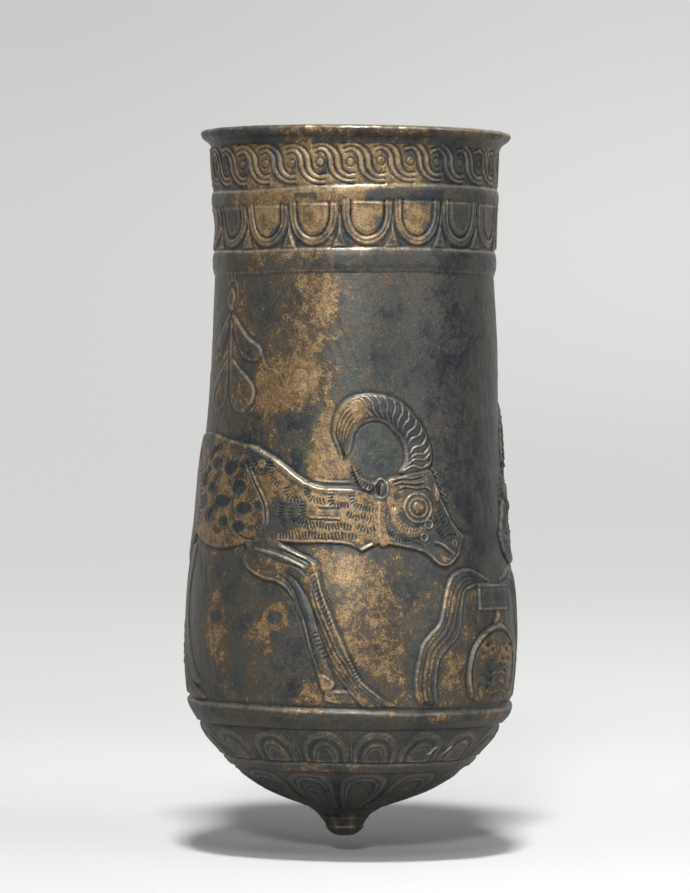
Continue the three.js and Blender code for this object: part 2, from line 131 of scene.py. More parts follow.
def closed(points):
    """A smooth closed line through the points of a drawing."""
    p = line_of(points)
    return flowing(np.vstack([p[-2:], p, p[:3]]))[2 * STEPS:-2 * STEPS]


def looped(line):
    """A line that ends where it starts."""
    return np.vstack([line, line[:1]])


def softly(value, low, high):
    """Goes from 0 at low to 1 at high, level at both ends."""
    t = np.clip((value - low) / (high - low), 0, 1)
    return t * t * (3 - 2 * t)


field_line = flowing((
    LEDGE_RADIUS, LEDGE, 34.85, 33.5, 35.15, 38, 35.3, 43, 35.2, 47.6, 34.9, 52.3, 34.3, 57,
    33.6, 61.7, 32.9, 66.4, 32.35, 71, 32.0, 75.8, 31.7, 80.5, 31.3, 85.2, 30.95, 90, 30.72, 94.6,
    30.55, 99.3, 30.42, 104, 30.28, 108.7, 30.1, 113.3, NECK_RADIUS + 0.05, 118,
    NECK_RADIUS, FIELD_TOP))
bowl_line = flowing((
    FOOT_FLANGE, BOWL_FLOOR, 6.8, 5.45, 8.9, 6.7, 11.9, 7.8, 14.8, 8.9, 17.25, 10.0, 19.2, 11.05,
    20.9, 12.1, 22.4, 13.05, 23.6, 14.1, 24.9, 15.2, 26.1, 16.35, 27.1, 17.45, 28.05, 18.6,
    29.2, 19.85, 30.25, 21.05, 31.1, 22.1, 31.65, 23.2, LAP_RADIUS - LAP_SHEET - SEAT, LAP), 6)
bowl_steps = np.hypot(*np.diff(bowl_line, axis=0).T)
bowl_lengths = np.concatenate([[0], np.cumsum(bowl_steps)])
BOWL_LENGTH = bowl_lengths[-1]

lap_line = line_of((LAP_RADIUS, LAP, 33.35, 25.6, 33.85, 26.4, 34.3, 27.3, 34.6, 28.1, 34.78, 28.8,
                    34.7, 29.15, LEDGE_RADIUS, LEDGE))
band_line = line_of((NECK_RADIUS, FIELD_TOP, NECK_RADIUS + RIM_FLARE, GUILLOCHE_TOP))
wall_line = np.concatenate([lap_line[:-1], field_line, band_line[1:]])


def wall_radius(height):
    """Radius of the wall's outside, before anything is hammered into it."""
    return np.interp(height, wall_line[:, 1], wall_line[:, 0])


def inside_radius(height):
    """Radius of the wall's smooth inside."""
    sheet = np.interp(height, (LAP, LEDGE), (LAP_SHEET, WALL_SHEET))
    plain = np.interp(height, (LAP, 27.4, LEDGE), (LAP_RADIUS, 34.3, LEDGE_RADIUS))
    return np.where(height < LEDGE, plain, wall_radius(height)) - sheet


def bowl_point(length):
    """Radius and height of the bowl's outside at a length from the foot."""
    return (np.interp(length, bowl_lengths, bowl_line[:, 0]),
            np.interp(length, bowl_lengths, bowl_line[:, 1]))


# flat sheets
def shoulder(share):
    """The round edge of a hammered form: 0 outside, 1 from a share of 1 inwards."""
    s = np.clip(share, 0, 1)
    return np.sqrt(np.clip(1 - (1 - s) ** 2, 0, 1))


def ripple(angles, heights, seed, count, round_waves, up_mm):
    """Slow waves of a hand-worked sheet, between about -1 and 1, the same at 0 and 360 degrees."""
    dice = np.random.default_rng(seed)
    total = 0
    for _ in range(count):
        waves = dice.integers(1, round_waves + 1)
        rise = dice.uniform(-1, 1) * 2 * math.pi / up_mm
        phase = dice.uniform(0, 2 * math.pi)
        total = total + np.sin(waves * angles[None, :] * RADIAN + rise * heights[:, None] + phase)
    return total / math.sqrt(count)


class Sheet:
    """A bronze sheet laid flat, with columns by angle and rows by height or length.

    lift is how far each spot is hammered out in mm, bare how far its patina is worn off, and shine
    how polished it is; the finish also paints a pale highlight where the shine is.
    """

    def __init__(self, angles, heights, radii):
        self.angles = np.asarray(angles, float)
        self.heights = np.asarray(heights, float)
        self.scale = np.asarray(radii, float) * RADIAN
        self.lift = np.zeros((len(self.heights), len(self.angles)))
        self.bare = np.zeros_like(self.lift)
        self.green = np.zeros_like(self.lift)
        self.shine = np.zeros_like(self.lift)

    def _window(self, low, high, reach):
        """Rows and columns within reach of the box from low to high, or None."""
        rows = np.searchsorted(self.heights, (low[1] - reach, high[1] + reach))
        if rows[0] >= rows[1]:
            return None
        pad = reach / self.scale[rows[0]:rows[1]].min()
        cols = np.searchsorted(self.angles, (low[0] - pad, high[0] + pad))
        if cols[0] >= cols[1]:
            return None
        return slice(*rows), slice(*cols)

    def _copies(self, line, reach):
        """The line as it lies on this sheet, which may start at any angle."""
        for turn in (0, -360, 360):
            moved = line_of(line) + (turn, 0)
            spot = self._window(moved.min(0), moved.max(0), reach)
            if spot:
                yield moved, spot

    def _strokes(self, line, reach, tapered):
        """For each copy of a line: its window, the distance from it, and how full it is there."""
        for moved, spot in self._copies(line, reach):
            distance, along = self._distance(moved, spot, reach)
            full = softly(np.minimum(along, 1 - along), 0, tapered) if tapered else 1.0
            yield spot, distance, full

    def _round(self, angle, height, reach):
        """For each copy of a point: its window, and how far across and up each spot is from it."""
        for point, (rows, cols) in self._copies((angle, height), reach):
            across = (self.angles[cols] - point[0, 0])[None, :] * self.scale[rows][:, None]
            yield (rows, cols), across, (self.heights[rows] - height)[:, None]

    def _distance(self, line, spot, reach):
        """Distance in mm from the line over a window of the sheet, and the share along it."""
        rows, cols = spot
        shape = (rows.stop - rows.start, cols.stop - cols.start)
        distance = np.full(shape, reach)
        along = np.zeros(shape)
        legs = np.hypot(*(np.diff(line, axis=0) * (self.scale[rows].mean(), 1)).T)
        ends = np.concatenate([[0], np.cumsum(legs)]) / max(legs.sum(), 1e-9)
        for index in range(len(line) - 1):
            start, end = line[index], line[index + 1]
            near = self._window(np.minimum(start, end), np.maximum(start, end), reach)
            if not near:
                continue
            r, c = near
            x = (self.angles[c] - start[0])[None, :] * self.scale[r][:, None]
            y = (self.heights[r] - start[1])[:, None]
            dx = (end[0] - start[0]) * self.scale[r][:, None]
            dy = end[1] - start[1]
            t = np.clip((x * dx + y * dy) / np.maximum(dx * dx + dy * dy, 1e-9), 0, 1)
            d = np.hypot(x - t * dx, y - t * dy)
            here = (slice(r.start - rows.start, r.stop - rows.start),
                    slice(c.start - cols.start, c.stop - cols.start))
            nearer = d < distance[here]
            distance[here] = np.where(nearer, d, distance[here])
            share = ends[index] + t * (ends[index + 1] - ends[index])
            along[here] = np.where(nearer, share, along[here])
        return distance, along

    def _depth_inside(self, outline, spot, reach):
        """Distance in mm inside a closed outline, negative outside it."""
        rows, cols = spot
        distance, _ = self._distance(looped(outline), spot, reach)
        angles, heights = self.angles[cols], self.heights[rows]
        inside = np.zeros(distance.shape, bool)
        for start, end in zip(outline, np.roll(outline, -1, axis=0)):
            crossed = (start[1] <= heights) != (end[1] <= heights)
            if crossed.any():
                share = (heights[crossed] - start[1]) / (end[1] - start[1])
                at = start[0] + share * (end[0] - start[0])
                inside[crossed] ^= angles[None, :] > at[:, None]
        return np.where(inside, distance, -distance)

    def form(self, outline, rise, edge=0.9, crown=0.0, crown_reach=4.0, chased=0.1, ridge=0.12):
        """A form hammered out from behind, with a chased line round its foot and a fine ridge."""
        reach = max(edge + 0.6, crown_reach if crown else 0) + 0.4
        for line, spot in self._copies(outline, reach):
            depth = self._depth_inside(line, spot, reach)
            height = rise * shoulder(depth / edge) + crown * softly(depth, 0, crown_reach)
            lift = self.lift[spot]
            quiet = 1 - 0.7 * softly(lift, 0.2, 0.6)
            groove = 0.38 * chased * np.exp(-((depth + 0.3) / 0.25) ** 2) * quiet
            line_top = np.exp(-((depth - 0.42) / 0.24) ** 2)
            self.lift[spot] = (np.where(depth > 0, np.maximum(lift, height), lift) - groove
                               + ridge * line_top)
            self.bare[spot] += 0.8 * ridge * line_top * quiet - 2.6 * groove
            self.shine[spot] = np.maximum(self.shine[spot], 2.6 * ridge * line_top)

    def cord(self, line, half_width, rise, round_top=True, tapered=0.0, into=None):
        """A raised line, or a groove where the rise is negative, added to what is there."""
        into = self.lift if into is None else into
        reach = half_width * (1.02 if round_top else 2.2)
        for spot, distance, full in self._strokes(line, reach, tapered):
            if round_top:
                section = np.sqrt(np.clip(1 - (distance / half_width) ** 2, 0, 1))
            else:
                section = np.exp(-(distance / (0.6 * half_width)) ** 2) * (distance < reach)
            into[spot] += rise * (section * full)

    def chase(self, line, width, depth, tapered=0.0, dark=3.2):
        """A line pressed in with a punch; it keeps its dark patina."""
        half = width / 2 + 0.07
        for spot, distance, full in self._strokes(line, 2.2 * half, tapered):
            section = np.exp(-(distance / (0.7 * half)) ** 2) * full
            self.lift[spot] -= depth * section
            self.bare[spot] -= dark * depth * section

    def bead(self, line, half_width, rise, shine=0.6, tapered=0.0):
        """A fine raised line, rubbed bright, with dark patina left close beside it; its shine
        gives it a pale painted highlight.
        """
        for spot, distance, full in self._strokes(line, 3.6 * half_width, tapered):
            top = np.exp(-(distance / (0.8 * half_width)) ** 2)
            beside = np.exp(-((distance - 1.9 * half_width) / (0.75 * half_width)) ** 2)
            self.lift[spot] += rise * (top - 0.35 * beside) * full
            self.bare[spot] += (0.25 * shine * top - 0.28 * beside) * full
            self.shine[spot] = np.maximum(self.shine[spot], shine * top * full)

    def rubbed(self, line, half_width, amount):
        """Patina rubbed off along a line that stands out."""
        self.cord(line, half_width, amount, round_top=False, into=self.bare)

    def ring(self, angle, height, radius, half_width, rise):
        """A round bead, or a round groove where the rise is negative."""
        turn = np.linspace(0, 2 * math.pi, 25)
        scale = np.interp(height, self.heights, self.scale)
        line = np.column_stack([angle + radius * np.cos(turn) / scale,
                                height + radius * np.sin(turn)])
        if rise > 0:
            self.bead(line, half_width, rise)
        else:
            self.chase(line, half_width, -rise)

    def boss(self, angle, height, radius, rise, squash=1.0):
        """A round knob, which may be an oval lying or standing."""
        for spot, across, up in self._round(angle, height, radius * max(1, squash) + 0.2):
            d = np.hypot(across, up / squash) / radius
            self.lift[spot] += rise * np.sqrt(np.clip(1 - d * d, 0, 1))

    def hatch(self, line, count, length, lean=0.0, depth=0.2):
        """Short chased strokes set side by side across a line."""
        line = line_of(line)
        scale = np.interp(line[:, 1].mean(), self.heights, self.scale)
        legs = np.hypot(*(np.diff(line, axis=0) * (scale, 1)).T)
        ends = np.concatenate([[0], np.cumsum(legs)])
        count = max(3, min(count, int(ends[-1] / 0.62)))
        for step in range(count):
            at = ends[-1] * (step + 0.5) / count
            angle, height = (np.interp(at, ends, line[:, axis]) for axis in (0, 1))
            ahead = [np.interp(at + 0.2, ends, line[:, axis]) for axis in (0, 1)]
            behind = [np.interp(at - 0.2, ends, line[:, axis]) for axis in (0, 1)]
            way = math.atan2(ahead[1] - behind[1], (ahead[0] - behind[0]) * scale)
            way += math.pi / 2 + lean
            jitter = 1 + 0.25 * math.sin(step * 2.4)
            x = 0.5 * length * jitter * math.cos(way) / scale
            y = 0.5 * length * jitter * math.sin(way)
            self.chase((angle - x, height - y, angle + x, height + y), 0.3, depth, dark=5.2)

    def wear(self, outline, amount, soft):
        """A patch where the patina is thinner, or thicker where the amount is negative."""
        for line, spot in self._copies(outline, soft):
            depth = self._depth_inside(line, spot, soft)
            self.bare[spot] += amount * softly(depth, -soft, soft)

    def patches(self, *rows):
        """Worn patches: a row has an amount, a softness, and outlines or ovals (four numbers)."""
        for amount, soft, *shapes in rows:
            for shape in shapes:
                self.wear(oval(*shape) if len(shape) == 4 else shape, amount, soft)

    def verdigris(self, angle, height, wide, tall, amount):
        """A soft green spot."""
        for spot, across, up in self._round(angle, height, 2 * max(wide, tall)):
            self.green[spot] += amount * np.exp(-((across / wide) ** 2 + (up / tall) ** 2))

    def edges(self):
        """How far each spot stands above its surroundings, in mm."""
        rows = max(1, int(round(NEAR / np.diff(self.heights).mean())))
        cols = max(1, int(round(NEAR / (np.diff(self.angles).mean() * self.scale.mean()))))
        return self.lift - blurred(blurred(self.lift, rows, 0), cols, 1)


def blurred(values, steps, axis):
    """A running mean over a few neighbours on each side, run twice."""
    for _ in range(2):
        padding = [(0, 0), (0, 0)]
        padding[axis] = (steps + 1, steps)
        total = np.cumsum(np.pad(values, padding, mode="edge"), axis=axis)
        size = values.shape[axis]
        high = np.take(total, np.arange(2 * steps + 1, 2 * steps + 1 + size), axis=axis)
        low = np.take(total, np.arange(size), axis=axis)
        values = (high - low) / (2 * steps + 1)
    return values


def oval(angle, height, wide, tall):
    """Outline of an oval patch, with its half sizes in degrees and mm."""
    turn = np.linspace(0, 2 * math.pi, 20, endpoint=False)
    return np.column_stack([angle + wide * np.cos(turn), height + tall * np.sin(turn)])


def spread(start, stop, step):
    """Columns or rows from start to stop, about a step apart."""
    count = max(1, int(round((stop - start) / (step * COARSE))))
    return np.linspace(start, stop, count + 1)


def run(*parts):
    """Joins several spreads that follow each other."""
    return np.concatenate([parts[0]] + [part[1:] for part in parts[1:]])


# the ram
def draw_ram(sheet, mirrored):
    """The ram as it faces right; the other one is its mirror image across the plant."""
    hand, across = (-1, 2 * FACING_AXIS) if mirrored else (1, 0)

    def at(points):
        return line_of(points) * (hand, 1) + (across, 0)

    def smooth(*line):
        return flowing(at(line))

    def shape(*line):
        return closed(at(line))

    def spot(angle, height):
        return at((angle, height))[0]

    far_foreleg = shape(
        -40, 62, -42, 59, -38, 57, -32, 55.5, -27, 55, -23, 53.5, -20, 51.5, -17.5, 48.5,
        -16, 45.5, -14.5, 42, -13, 39.5, -12, 36.5, -10.3, 33.6, -9, 32.4, -6, 33.4, -5.8, 35.2,
        -7.5, 38, -10, 42.5, -12, 46, -14, 50, -17, 54, -22, 57, -32, 61)
    sheet.form(far_foreleg, 0.34, edge=1.1, ridge=0.02)
    sheet.chase(
        smooth(-26, 56.8, -21, 54.4, -17.4, 50, -14.6, 45, -12.6, 40.5, -10.6, 37), 0.35, 0.16)
    sheet.form(shape(-9.8, 36.2, -6.5, 35.4, -5.2, 34.2, -6.5, 33, -10.2, 33.2), 0.4, edge=0.6)
    sheet.form(
        shape(-8.5, 32.8, -2, 33, 4.5, 32.8, 6, 30.6, -7.6, 30.4), 0.2, edge=0.7, ridge=0.06)

    hind_leg = shape(
        -86, 64, -87, 58, -87, 52, -83, 44, -76, 37.5, -69, 33, -61, 30.2, -66, 29.8, -76, 30.4,
        -84, 35.5, -92, 42, -97, 49.5, -99, 56.5, -100, 66)
    sheet.form(hind_leg, 0.38, edge=0.9, crown=0.1, ridge=0.05)
    for shift in (-4.5, -1.5, 1.8):
        sheet.chase(smooth(
            -91 + shift, 60, -91.5 + shift, 52, -87.5 + shift, 44, -80 + shift, 37.6,
            -70.5 + shift, 32.2), 0.32, 0.15)
    far_hind = shape(
        -76, 62, -79, 54, -78, 46, -72, 39, -66, 34.6, -62, 33.5, -70, 33.2, -80, 40, -86, 48,
        -88, 60)
    sheet.form(far_hind, 0.25, edge=0.8, ridge=0.05)

    body = shape(
        10, 73.2, 6, 73.8, 0, 74.9, -10, 74.9, -15, 75.5, -20, 77, -25, 79, -30, 80.8, -35, 82.2,
        -40, 83.3, -45, 83.8, -55, 84.6, -65, 85.6, -76, 86, -88, 84.8, -97, 81, -102, 75,
        -102, 69, -95, 66, -84, 65.5, -72, 63.3, -62, 62, -52, 61.8, -44, 62.6, -38, 63.4,
        -30, 63.5, -20, 63.2, -10, 63.3, -2, 63.1, 1.5, 62.4, 3.6, 61.5, 6, 62.2, 10, 63.3, 15, 64,
        18, 68, 15, 73)
    sheet.form(body, 0.6, edge=1.5, crown=0.22, crown_reach=6.0, chased=0.08, ridge=0.08)
    # The back's line and the stroke at the notch under the neck are beads marked fully shiny:
    # rubbed bronze with a pale painted highlight along them.
    sheet.bead(smooth(
        -44, 83.2, -40, 82.9, -35, 81.7, -30, 80.2, -25, 78.3, -20, 76.4, -15, 75.1, -10, 74.5,
        -3, 74.4, 2, 74.2), 0.56, 0.2, 1.0, tapered=0.08)
    sheet.bead(smooth(-16, 76.6, -10, 76.1, -5, 76, 0.5, 75.9), 0.26, 0.12, 0.5, tapered=0.2)
    sheet.bead(smooth(-27, 63.9, -20, 63.7, -10, 63.7, -3, 63.5, 0.6, 62.9, 2.4, 62.0), 0.26, 0.14,
               0.7, tapered=0.1)
    sheet.bead(at((2.6, 61.9, 5.4, 62.7, 8, 63.5)), 0.34, 0.22, 1.0, tapered=0.15)
    tail = shape(
        -101, 79.5, -106, 78.5, -109, 73.5, -108.5, 68.5, -107, 68.5, -106, 72, -104, 74.5,
        -101, 75.5)
    sheet.form(tail, 0.7, edge=0.7)
    haunch = shape(
        -78, 80, -88, 82.8, -97, 79.5, -102.5, 70, -99, 59, -92, 57.5, -84, 61, -77, 65, -73.5, 71)
    sheet.form(haunch, 0.7, edge=2.4, crown=0.06, ridge=0.03)
    sheet.hatch(smooth(-74.5, 66, -72.6, 71, -76.5, 79.5, -83, 82), 16, 1.5)

    fore = shape(
        -33, 66.5, -33.2, 70, -36, 73.5, -39, 76, -42, 79, -46, 80.6, -52, 80.4, -55, 76, -53, 70,
        -48, 65.5, -42, 63.2, -36, 63)
    sheet.form(fore, 0.8, edge=2.6, crown=0.12, chased=0.0, ridge=0.03)

    near_foreleg = shape(
        -42, 66, -36, 65.6, -28, 64, -20, 61.6, -14.5, 60, -12, 59, -11.4, 57, -10, 54.5, -8.5, 52,
        -7, 50, -5, 46.5, -3, 44, -1, 41, 1, 38, 4, 35, 8, 33, 12, 31, 15.4, 29.8, 4.5, 29.6,
        0, 32.5, -2.5, 35, -5, 37, -7, 39, -9, 42, -11, 45, -13, 49, -16, 53, -20, 56, -26, 57.6,
        -32, 58.8, -37, 60.4, -42, 63)
    sheet.form(near_foreleg, 0.52, edge=1.3, crown=0.1, crown_reach=2.2, ridge=0.02)
    for line in ((-27.5, 63, -24, 62.2, -19, 60.9, -14.3, 59.8),
                 (-37, 62, -28, 61, -21, 59.5, -15.4, 58)):
        sheet.bead(smooth(*line), 0.3, 0.26, 1.0, tapered=0.15)
    for line in (
            (-12.4, 58.4, -10.9, 54.4, -8.4, 50.2, -5.6, 46.2, -2.8, 42, 0.2, 38.4, 3.2, 35,
            7.4, 32.8, 12, 30.8),
            (-16.8, 54, -13.6, 49.6, -11.4, 45.2, -9.2, 41.8, -6.6, 38.2, -3.2, 35.4, 0.2, 32.6,
            4, 30.2),
            (-41, 60, -38.6, 57.8, -32, 56.1, -26.4, 55.4, -22.4, 53.8, -19.2, 50.6, -16.4, 46.8,
            -14.4, 42.8, -12.6, 38.6)):
        sheet.bead(smooth(*line), 0.25, 0.14, 0.5, tapered=0.1)
    sheet.chase(smooth(-30, 62.4, -24, 61.4, -18, 60, -15, 59.1), 0.4, 0.2)
    sheet.chase(smooth(-32, 60.6, -25, 59.3, -19, 58.3, -16, 57), 0.4, 0.18)
    for shift, deep in ((-1.5, 0.14), (0.1, 0.24), (1.7, 0.14)):
        sheet.chase(smooth(
            -13.5 + shift, 53.4, -11.4 + shift, 49.5, -8.6 + shift, 45.6, -5.2 + shift, 41,
            -2 + shift, 38, 0.4 + shift, 35.6, 3.6 + shift, 33, 7 + shift, 31.4, 10.5
            + shift, 29.9), 0.3, deep)
    sheet.boss(*spot(-13.2, 58.4), 1.0, 0.1)
    sheet.hatch(
        smooth(-14.4, 57.4, -12.4, 54.5, -10.4, 51.6, -8, 48.6, -6.4, 46.2), 13, 1.0, hand * 0.4)
    sheet.hatch(smooth(-12.6, 45.2, -10.4, 42, -8.2, 39.4), 7, 0.9)
    sheet.hatch(smooth(-1.4, 40, 0.8, 37.6, 3.8, 34.6), 8, 0.8)

    # the coat: rows of hatching, scale-like locks and chased lines
    sheet.chase(
        smooth(-42.5, 79.4, -39, 76, -36, 73.4, -33.6, 71, -32.9, 68.6, -32, 66.2), 0.42, 0.26)
    sheet.bead(smooth(-41, 78.8, -38, 76, -35, 73.6, -32.6, 71, -31.8, 68.4, -32.4, 65.6), 0.32,
               0.16, 0.4, tapered=0.1)
    sheet.chase(smooth(-48.6, 71.5, -47.2, 68, -45.6, 65.5, -42.4, 64.2, -37, 63.8), 0.36, 0.2)
    for line, count, length in (
            ((-42.5, 82.9, -41.4, 80.8, -38.6, 78.7), 9, 1.6),
            ((-38, 78.3, -35.5, 77.7, -33, 78.8, -31.4, 80.4), 11, 1.3),
            ((-31, 80, -31.2, 77.6, -29.8, 76, -27.6, 75.2), 10, 1.0),
            ((-24.6, 75, -24, 73.2, -21.6, 72.2, -18.4, 72.4), 11, 1.1),
            ((-17, 76.2, -16.8, 74, -15, 72.4, -12, 72, -10, 72.2), 12, 0.9),
            ((-18, 72, -18, 70, -16.6, 68.2, -14.6, 67.8), 10, 1.0),
            ((-7.6, 74.4, -7.8, 73, -7.6, 71.6, -6, 71.2, -1, 71.2), 14, 0.9),
            ((0.2, 74, 0, 72.6, 1, 71.4, 4, 70.6, 8, 70.2), 12, 0.8),
            ((-20, 68.4, -16, 66.8, -12, 67.2, -8, 66.6, -4, 67, 0, 66.4), 24, 1.1),
            ((-27, 64.8, -22, 64.9, -16, 65.1, -10, 64.6, -4, 65, 2, 64.6), 24, 1.0),
            ((-26, 71.6, -26.6, 69, -24.6, 66.8), 8, 1.0),
            ((-22.5, 70.6, -22.6, 68.8, -20.8, 67.6), 6, 0.9),
            ((-2, 69.6, 1, 68.6, 4, 68.8, 7, 68), 11, 0.8), ((2, 67, 5, 66, 8.5, 66.4), 7, 0.9),
            ((-52, 75.2, -48, 76.2, -45, 77.4, -42.6, 78.2), 12, 1.1),
            ((-50.6, 71.6, -47.8, 72.8, -44.6, 72.8), 9, 0.9),
            ((-46.6, 68.6, -43, 69.8, -39, 70.3, -35, 71.6), 13, 1.1),
            ((-45, 66.2, -41, 66.6, -37, 66.2, -34.6, 67.4), 12, 0.9),
            ((-58, 80.6, -54, 80.2, -50, 79.6, -46.4, 79.2), 12, 1.0),
            ((-62, 74, -60, 76.6, -56.4, 77.8), 9, 1.0), ((-64, 68, -61, 70, -57.6, 70.4), 9, 1.0),
            ((-66, 80, -63, 82.4, -58, 83), 10, 1.1), ((-70, 74.6, -68, 77.4, -65, 78.6), 9, 1.1),
            ((-58, 65, -54, 66, -50, 66.4), 9, 1.0)):
        sheet.hatch(smooth(*line), count, length, hand * 0.15)
    for line in ((-12.4, 70.5, -5, 70.5), (-15.5, 68.2, -4, 68)):
        sheet.chase(at(line), 0.34, 0.16, tapered=0.05)
        sheet.bead(at(line) + (0, 0.5), 0.22, 0.1, 0.5, tapered=0.05)
    for angle, height, wide, tall in (
            (-54.9, 71.6, 4.6, 1.4), (-53.2, 67.4, 3.0, 1.15), (-42.8, 70.2, 3.9, 1.4),
            (-45.5, 74.6, 3.6, 1.5), (-62.8, 74.3, 3.4, 1.2), (-44.6, 66.4, 3.4, 1.3),
            (-51, 78.6, 3.8, 1.5), (-60, 79.4, 4, 1.4), (-63.6, 68.6, 4, 1.6),
            (-43, 79.4, 2.6, 1.2), (-70, 76, 3.6, 1.6), (-69, 71.4, 3.8, 1.6)):
        lock = at(oval(angle, height, wide, tall))
        sheet.cord(looped(lock), 0.42, 0.06, round_top=False)
        sheet.rubbed(looped(lock), 0.8, 0.2)
        sheet.wear(lock, -1.0, 0.3)
    tuft = at(oval(-35.7, 79.5, 3.2, 1.8))
    sheet.wear(tuft, 0.5, 0.6)
    sheet.hatch(looped(tuft), 18, 1.2)
    sheet.boss(*spot(-21.8, 80.9), 1.5, -0.14, 1.3)
    sheet.wear(at(oval(-21.8, 80.9, 2.6, 2.0)), -0.7, 0.4)

    # the head
    head = shape(
        9.7, 74.4, 12, 76.2, 15, 77.2, 20, 77.8, 25, 78.6, 29.5, 79, 32, 77.4, 34, 75, 35.5, 72.5,
        38, 69.6, 40, 67.5, 43, 65.9, 44.6, 65, 43.6, 63.6, 42.6, 62.3, 41.5, 61, 40, 60.1,
        38, 59.2, 35, 58.5, 32, 58.9, 30, 59.8, 28, 61, 26, 61.6, 22, 62.3, 18, 62.7, 14, 63.1,
        9.7, 63.4)
    sheet.form(head, 0.6, edge=1.2, crown=0.25, crown_reach=4.5, chased=0.08, ridge=0.1)
    sheet.bead(smooth(
        42.9, 65.9, 44, 64.9, 43.1, 63.4, 41.4, 61.3, 39.6, 60.4, 37.6, 59.5, 35, 58.9, 32.2, 59.3,
        30, 60.3, 27.6, 61.4, 24, 62.2, 18, 63, 12, 63.6), 0.24, 0.14, 0.75, tapered=0.06)
    sheet.bead(smooth(9, 68.4, 9.2, 66, 9.8, 64.4), 0.4, 0.05, 0.12, tapered=0.15)
    eye = spot(24.5, 70.8)
    sheet.boss(*eye, 3.5, 0.3)
    sheet.ring(*eye, 3.0, 0.2, 0.18)
    sheet.ring(*eye, 1.95, 0.18, 0.16)
    sheet.boss(*eye, 1.3, 0.4)
    sheet.ring(*spot(28.6, 67.4), 0.85, 0.24, 0.2)
    jaw = shape(14.6, 70.8, 14.2, 68.6, 15.4, 66.4, 18, 65, 22, 64.3, 26, 64.8, 27.6, 66.2,
                26.6, 67.2, 23.4, 66.9, 19.8, 67.4, 17.6, 69, 16.9, 70.8)
    sheet.form(jaw, 1.05, edge=0.9, chased=0.12, ridge=0.14)
    sheet.bead(
        at((34.4, 73, 36, 70.9, 38.2, 68.7, 40.6, 66.8, 43.2, 65.4)), 0.34, 0.14, 0.9, tapered=0.2)
    sheet.hatch(smooth(16.6, 69.6, 17.2, 67.9, 19.4, 66.6, 22.6, 66.3, 25, 66.8), 13, 0.8)
    for line in (
            (14.6, 75.9, 19, 76.6, 23, 76.6, 27.6, 77.2), (15, 75.2, 19, 75.7, 24, 75.5, 28, 75.9),
            (16.4, 74.2, 20, 74.8, 24, 74.5, 28, 74.7, 30.6, 73.8)):
        sheet.chase(smooth(*line), 0.34, 0.2, tapered=0.08)
        sheet.bead(smooth(*line) + (0, 0.42), 0.2, 0.08, 0.4, tapered=0.08)
    sheet.form(shape(31.6, 75.8, 33, 75.2, 33.8, 73.4, 33, 71.9, 31.6, 72.2, 31, 73.9), 1.2,
               edge=0.6, chased=0.1)
    for angle, height in (
            (32, 78.4), (33, 77.3), (34, 76.1), (35, 74.9), (35.9, 73.7), (36.7, 72.5)):
        sheet.bead(at((angle - 0.4, height + 0.5, angle + 1.7, height - 0.5)), 0.2, 0.24, 1.0)
    sheet.bead(
        smooth(36.2, 71.6, 38.2, 69.4, 40.2, 67.6, 42.6, 66.1), 0.25, 0.14, 0.7, tapered=0.1)
    sheet.chase(smooth(35.2, 71.2, 37.2, 69.2, 39.2, 67.4, 41.4, 66.2), 0.3, 0.12)
    sheet.chase(smooth(37.2, 65, 39, 65.2, 41.4, 65), 0.5, 0.22, tapered=0.1)
    sheet.bead(
        smooth(30.6, 63.8, 33, 63.4, 35, 62.8, 37, 61.9, 39.2, 61.1), 0.24, 0.2, 0.9, tapered=0.08)
    sheet.chase(smooth(30.8, 63, 33, 62.6, 35, 62, 37, 61.1), 0.3, 0.2)
    sheet.ring(*spot(26.5, 64.7), 0.75, 0.2, 0.2)
    sheet.ring(*spot(39.4, 63.4), 0.6, 0.18, 0.14)
    for line, count in (
            ((33.4, 70.6, 35.8, 67.4, 36.6, 64.6), 7), ((16.6, 72.4, 16, 74), 4),
            ((31.4, 68.2, 33.4, 65.8, 34.4, 64), 6), ((13, 66, 17, 64.3, 21, 63.5), 8),
            ((37.6, 67.6, 39.4, 65.8), 4)):
        sheet.hatch(smooth(*line), count, 0.9, hand * 0.3)
    for line in (
            (30.8, 69.6, 32.4, 68.4, 33.2, 67), (32.4, 70.4, 34.4, 68.8, 35.2, 67.2),
            (31, 66.4, 33.4, 65.4, 35.6, 65), (12.2, 73, 12.8, 70.6, 12.2, 68),
            (12.4, 66.8, 13.4, 65.4, 15.4, 64.6), (18, 64, 22, 63.7, 26, 62.9)):
        sheet.chase(smooth(*line), 0.3, 0.16, tapered=0.1)

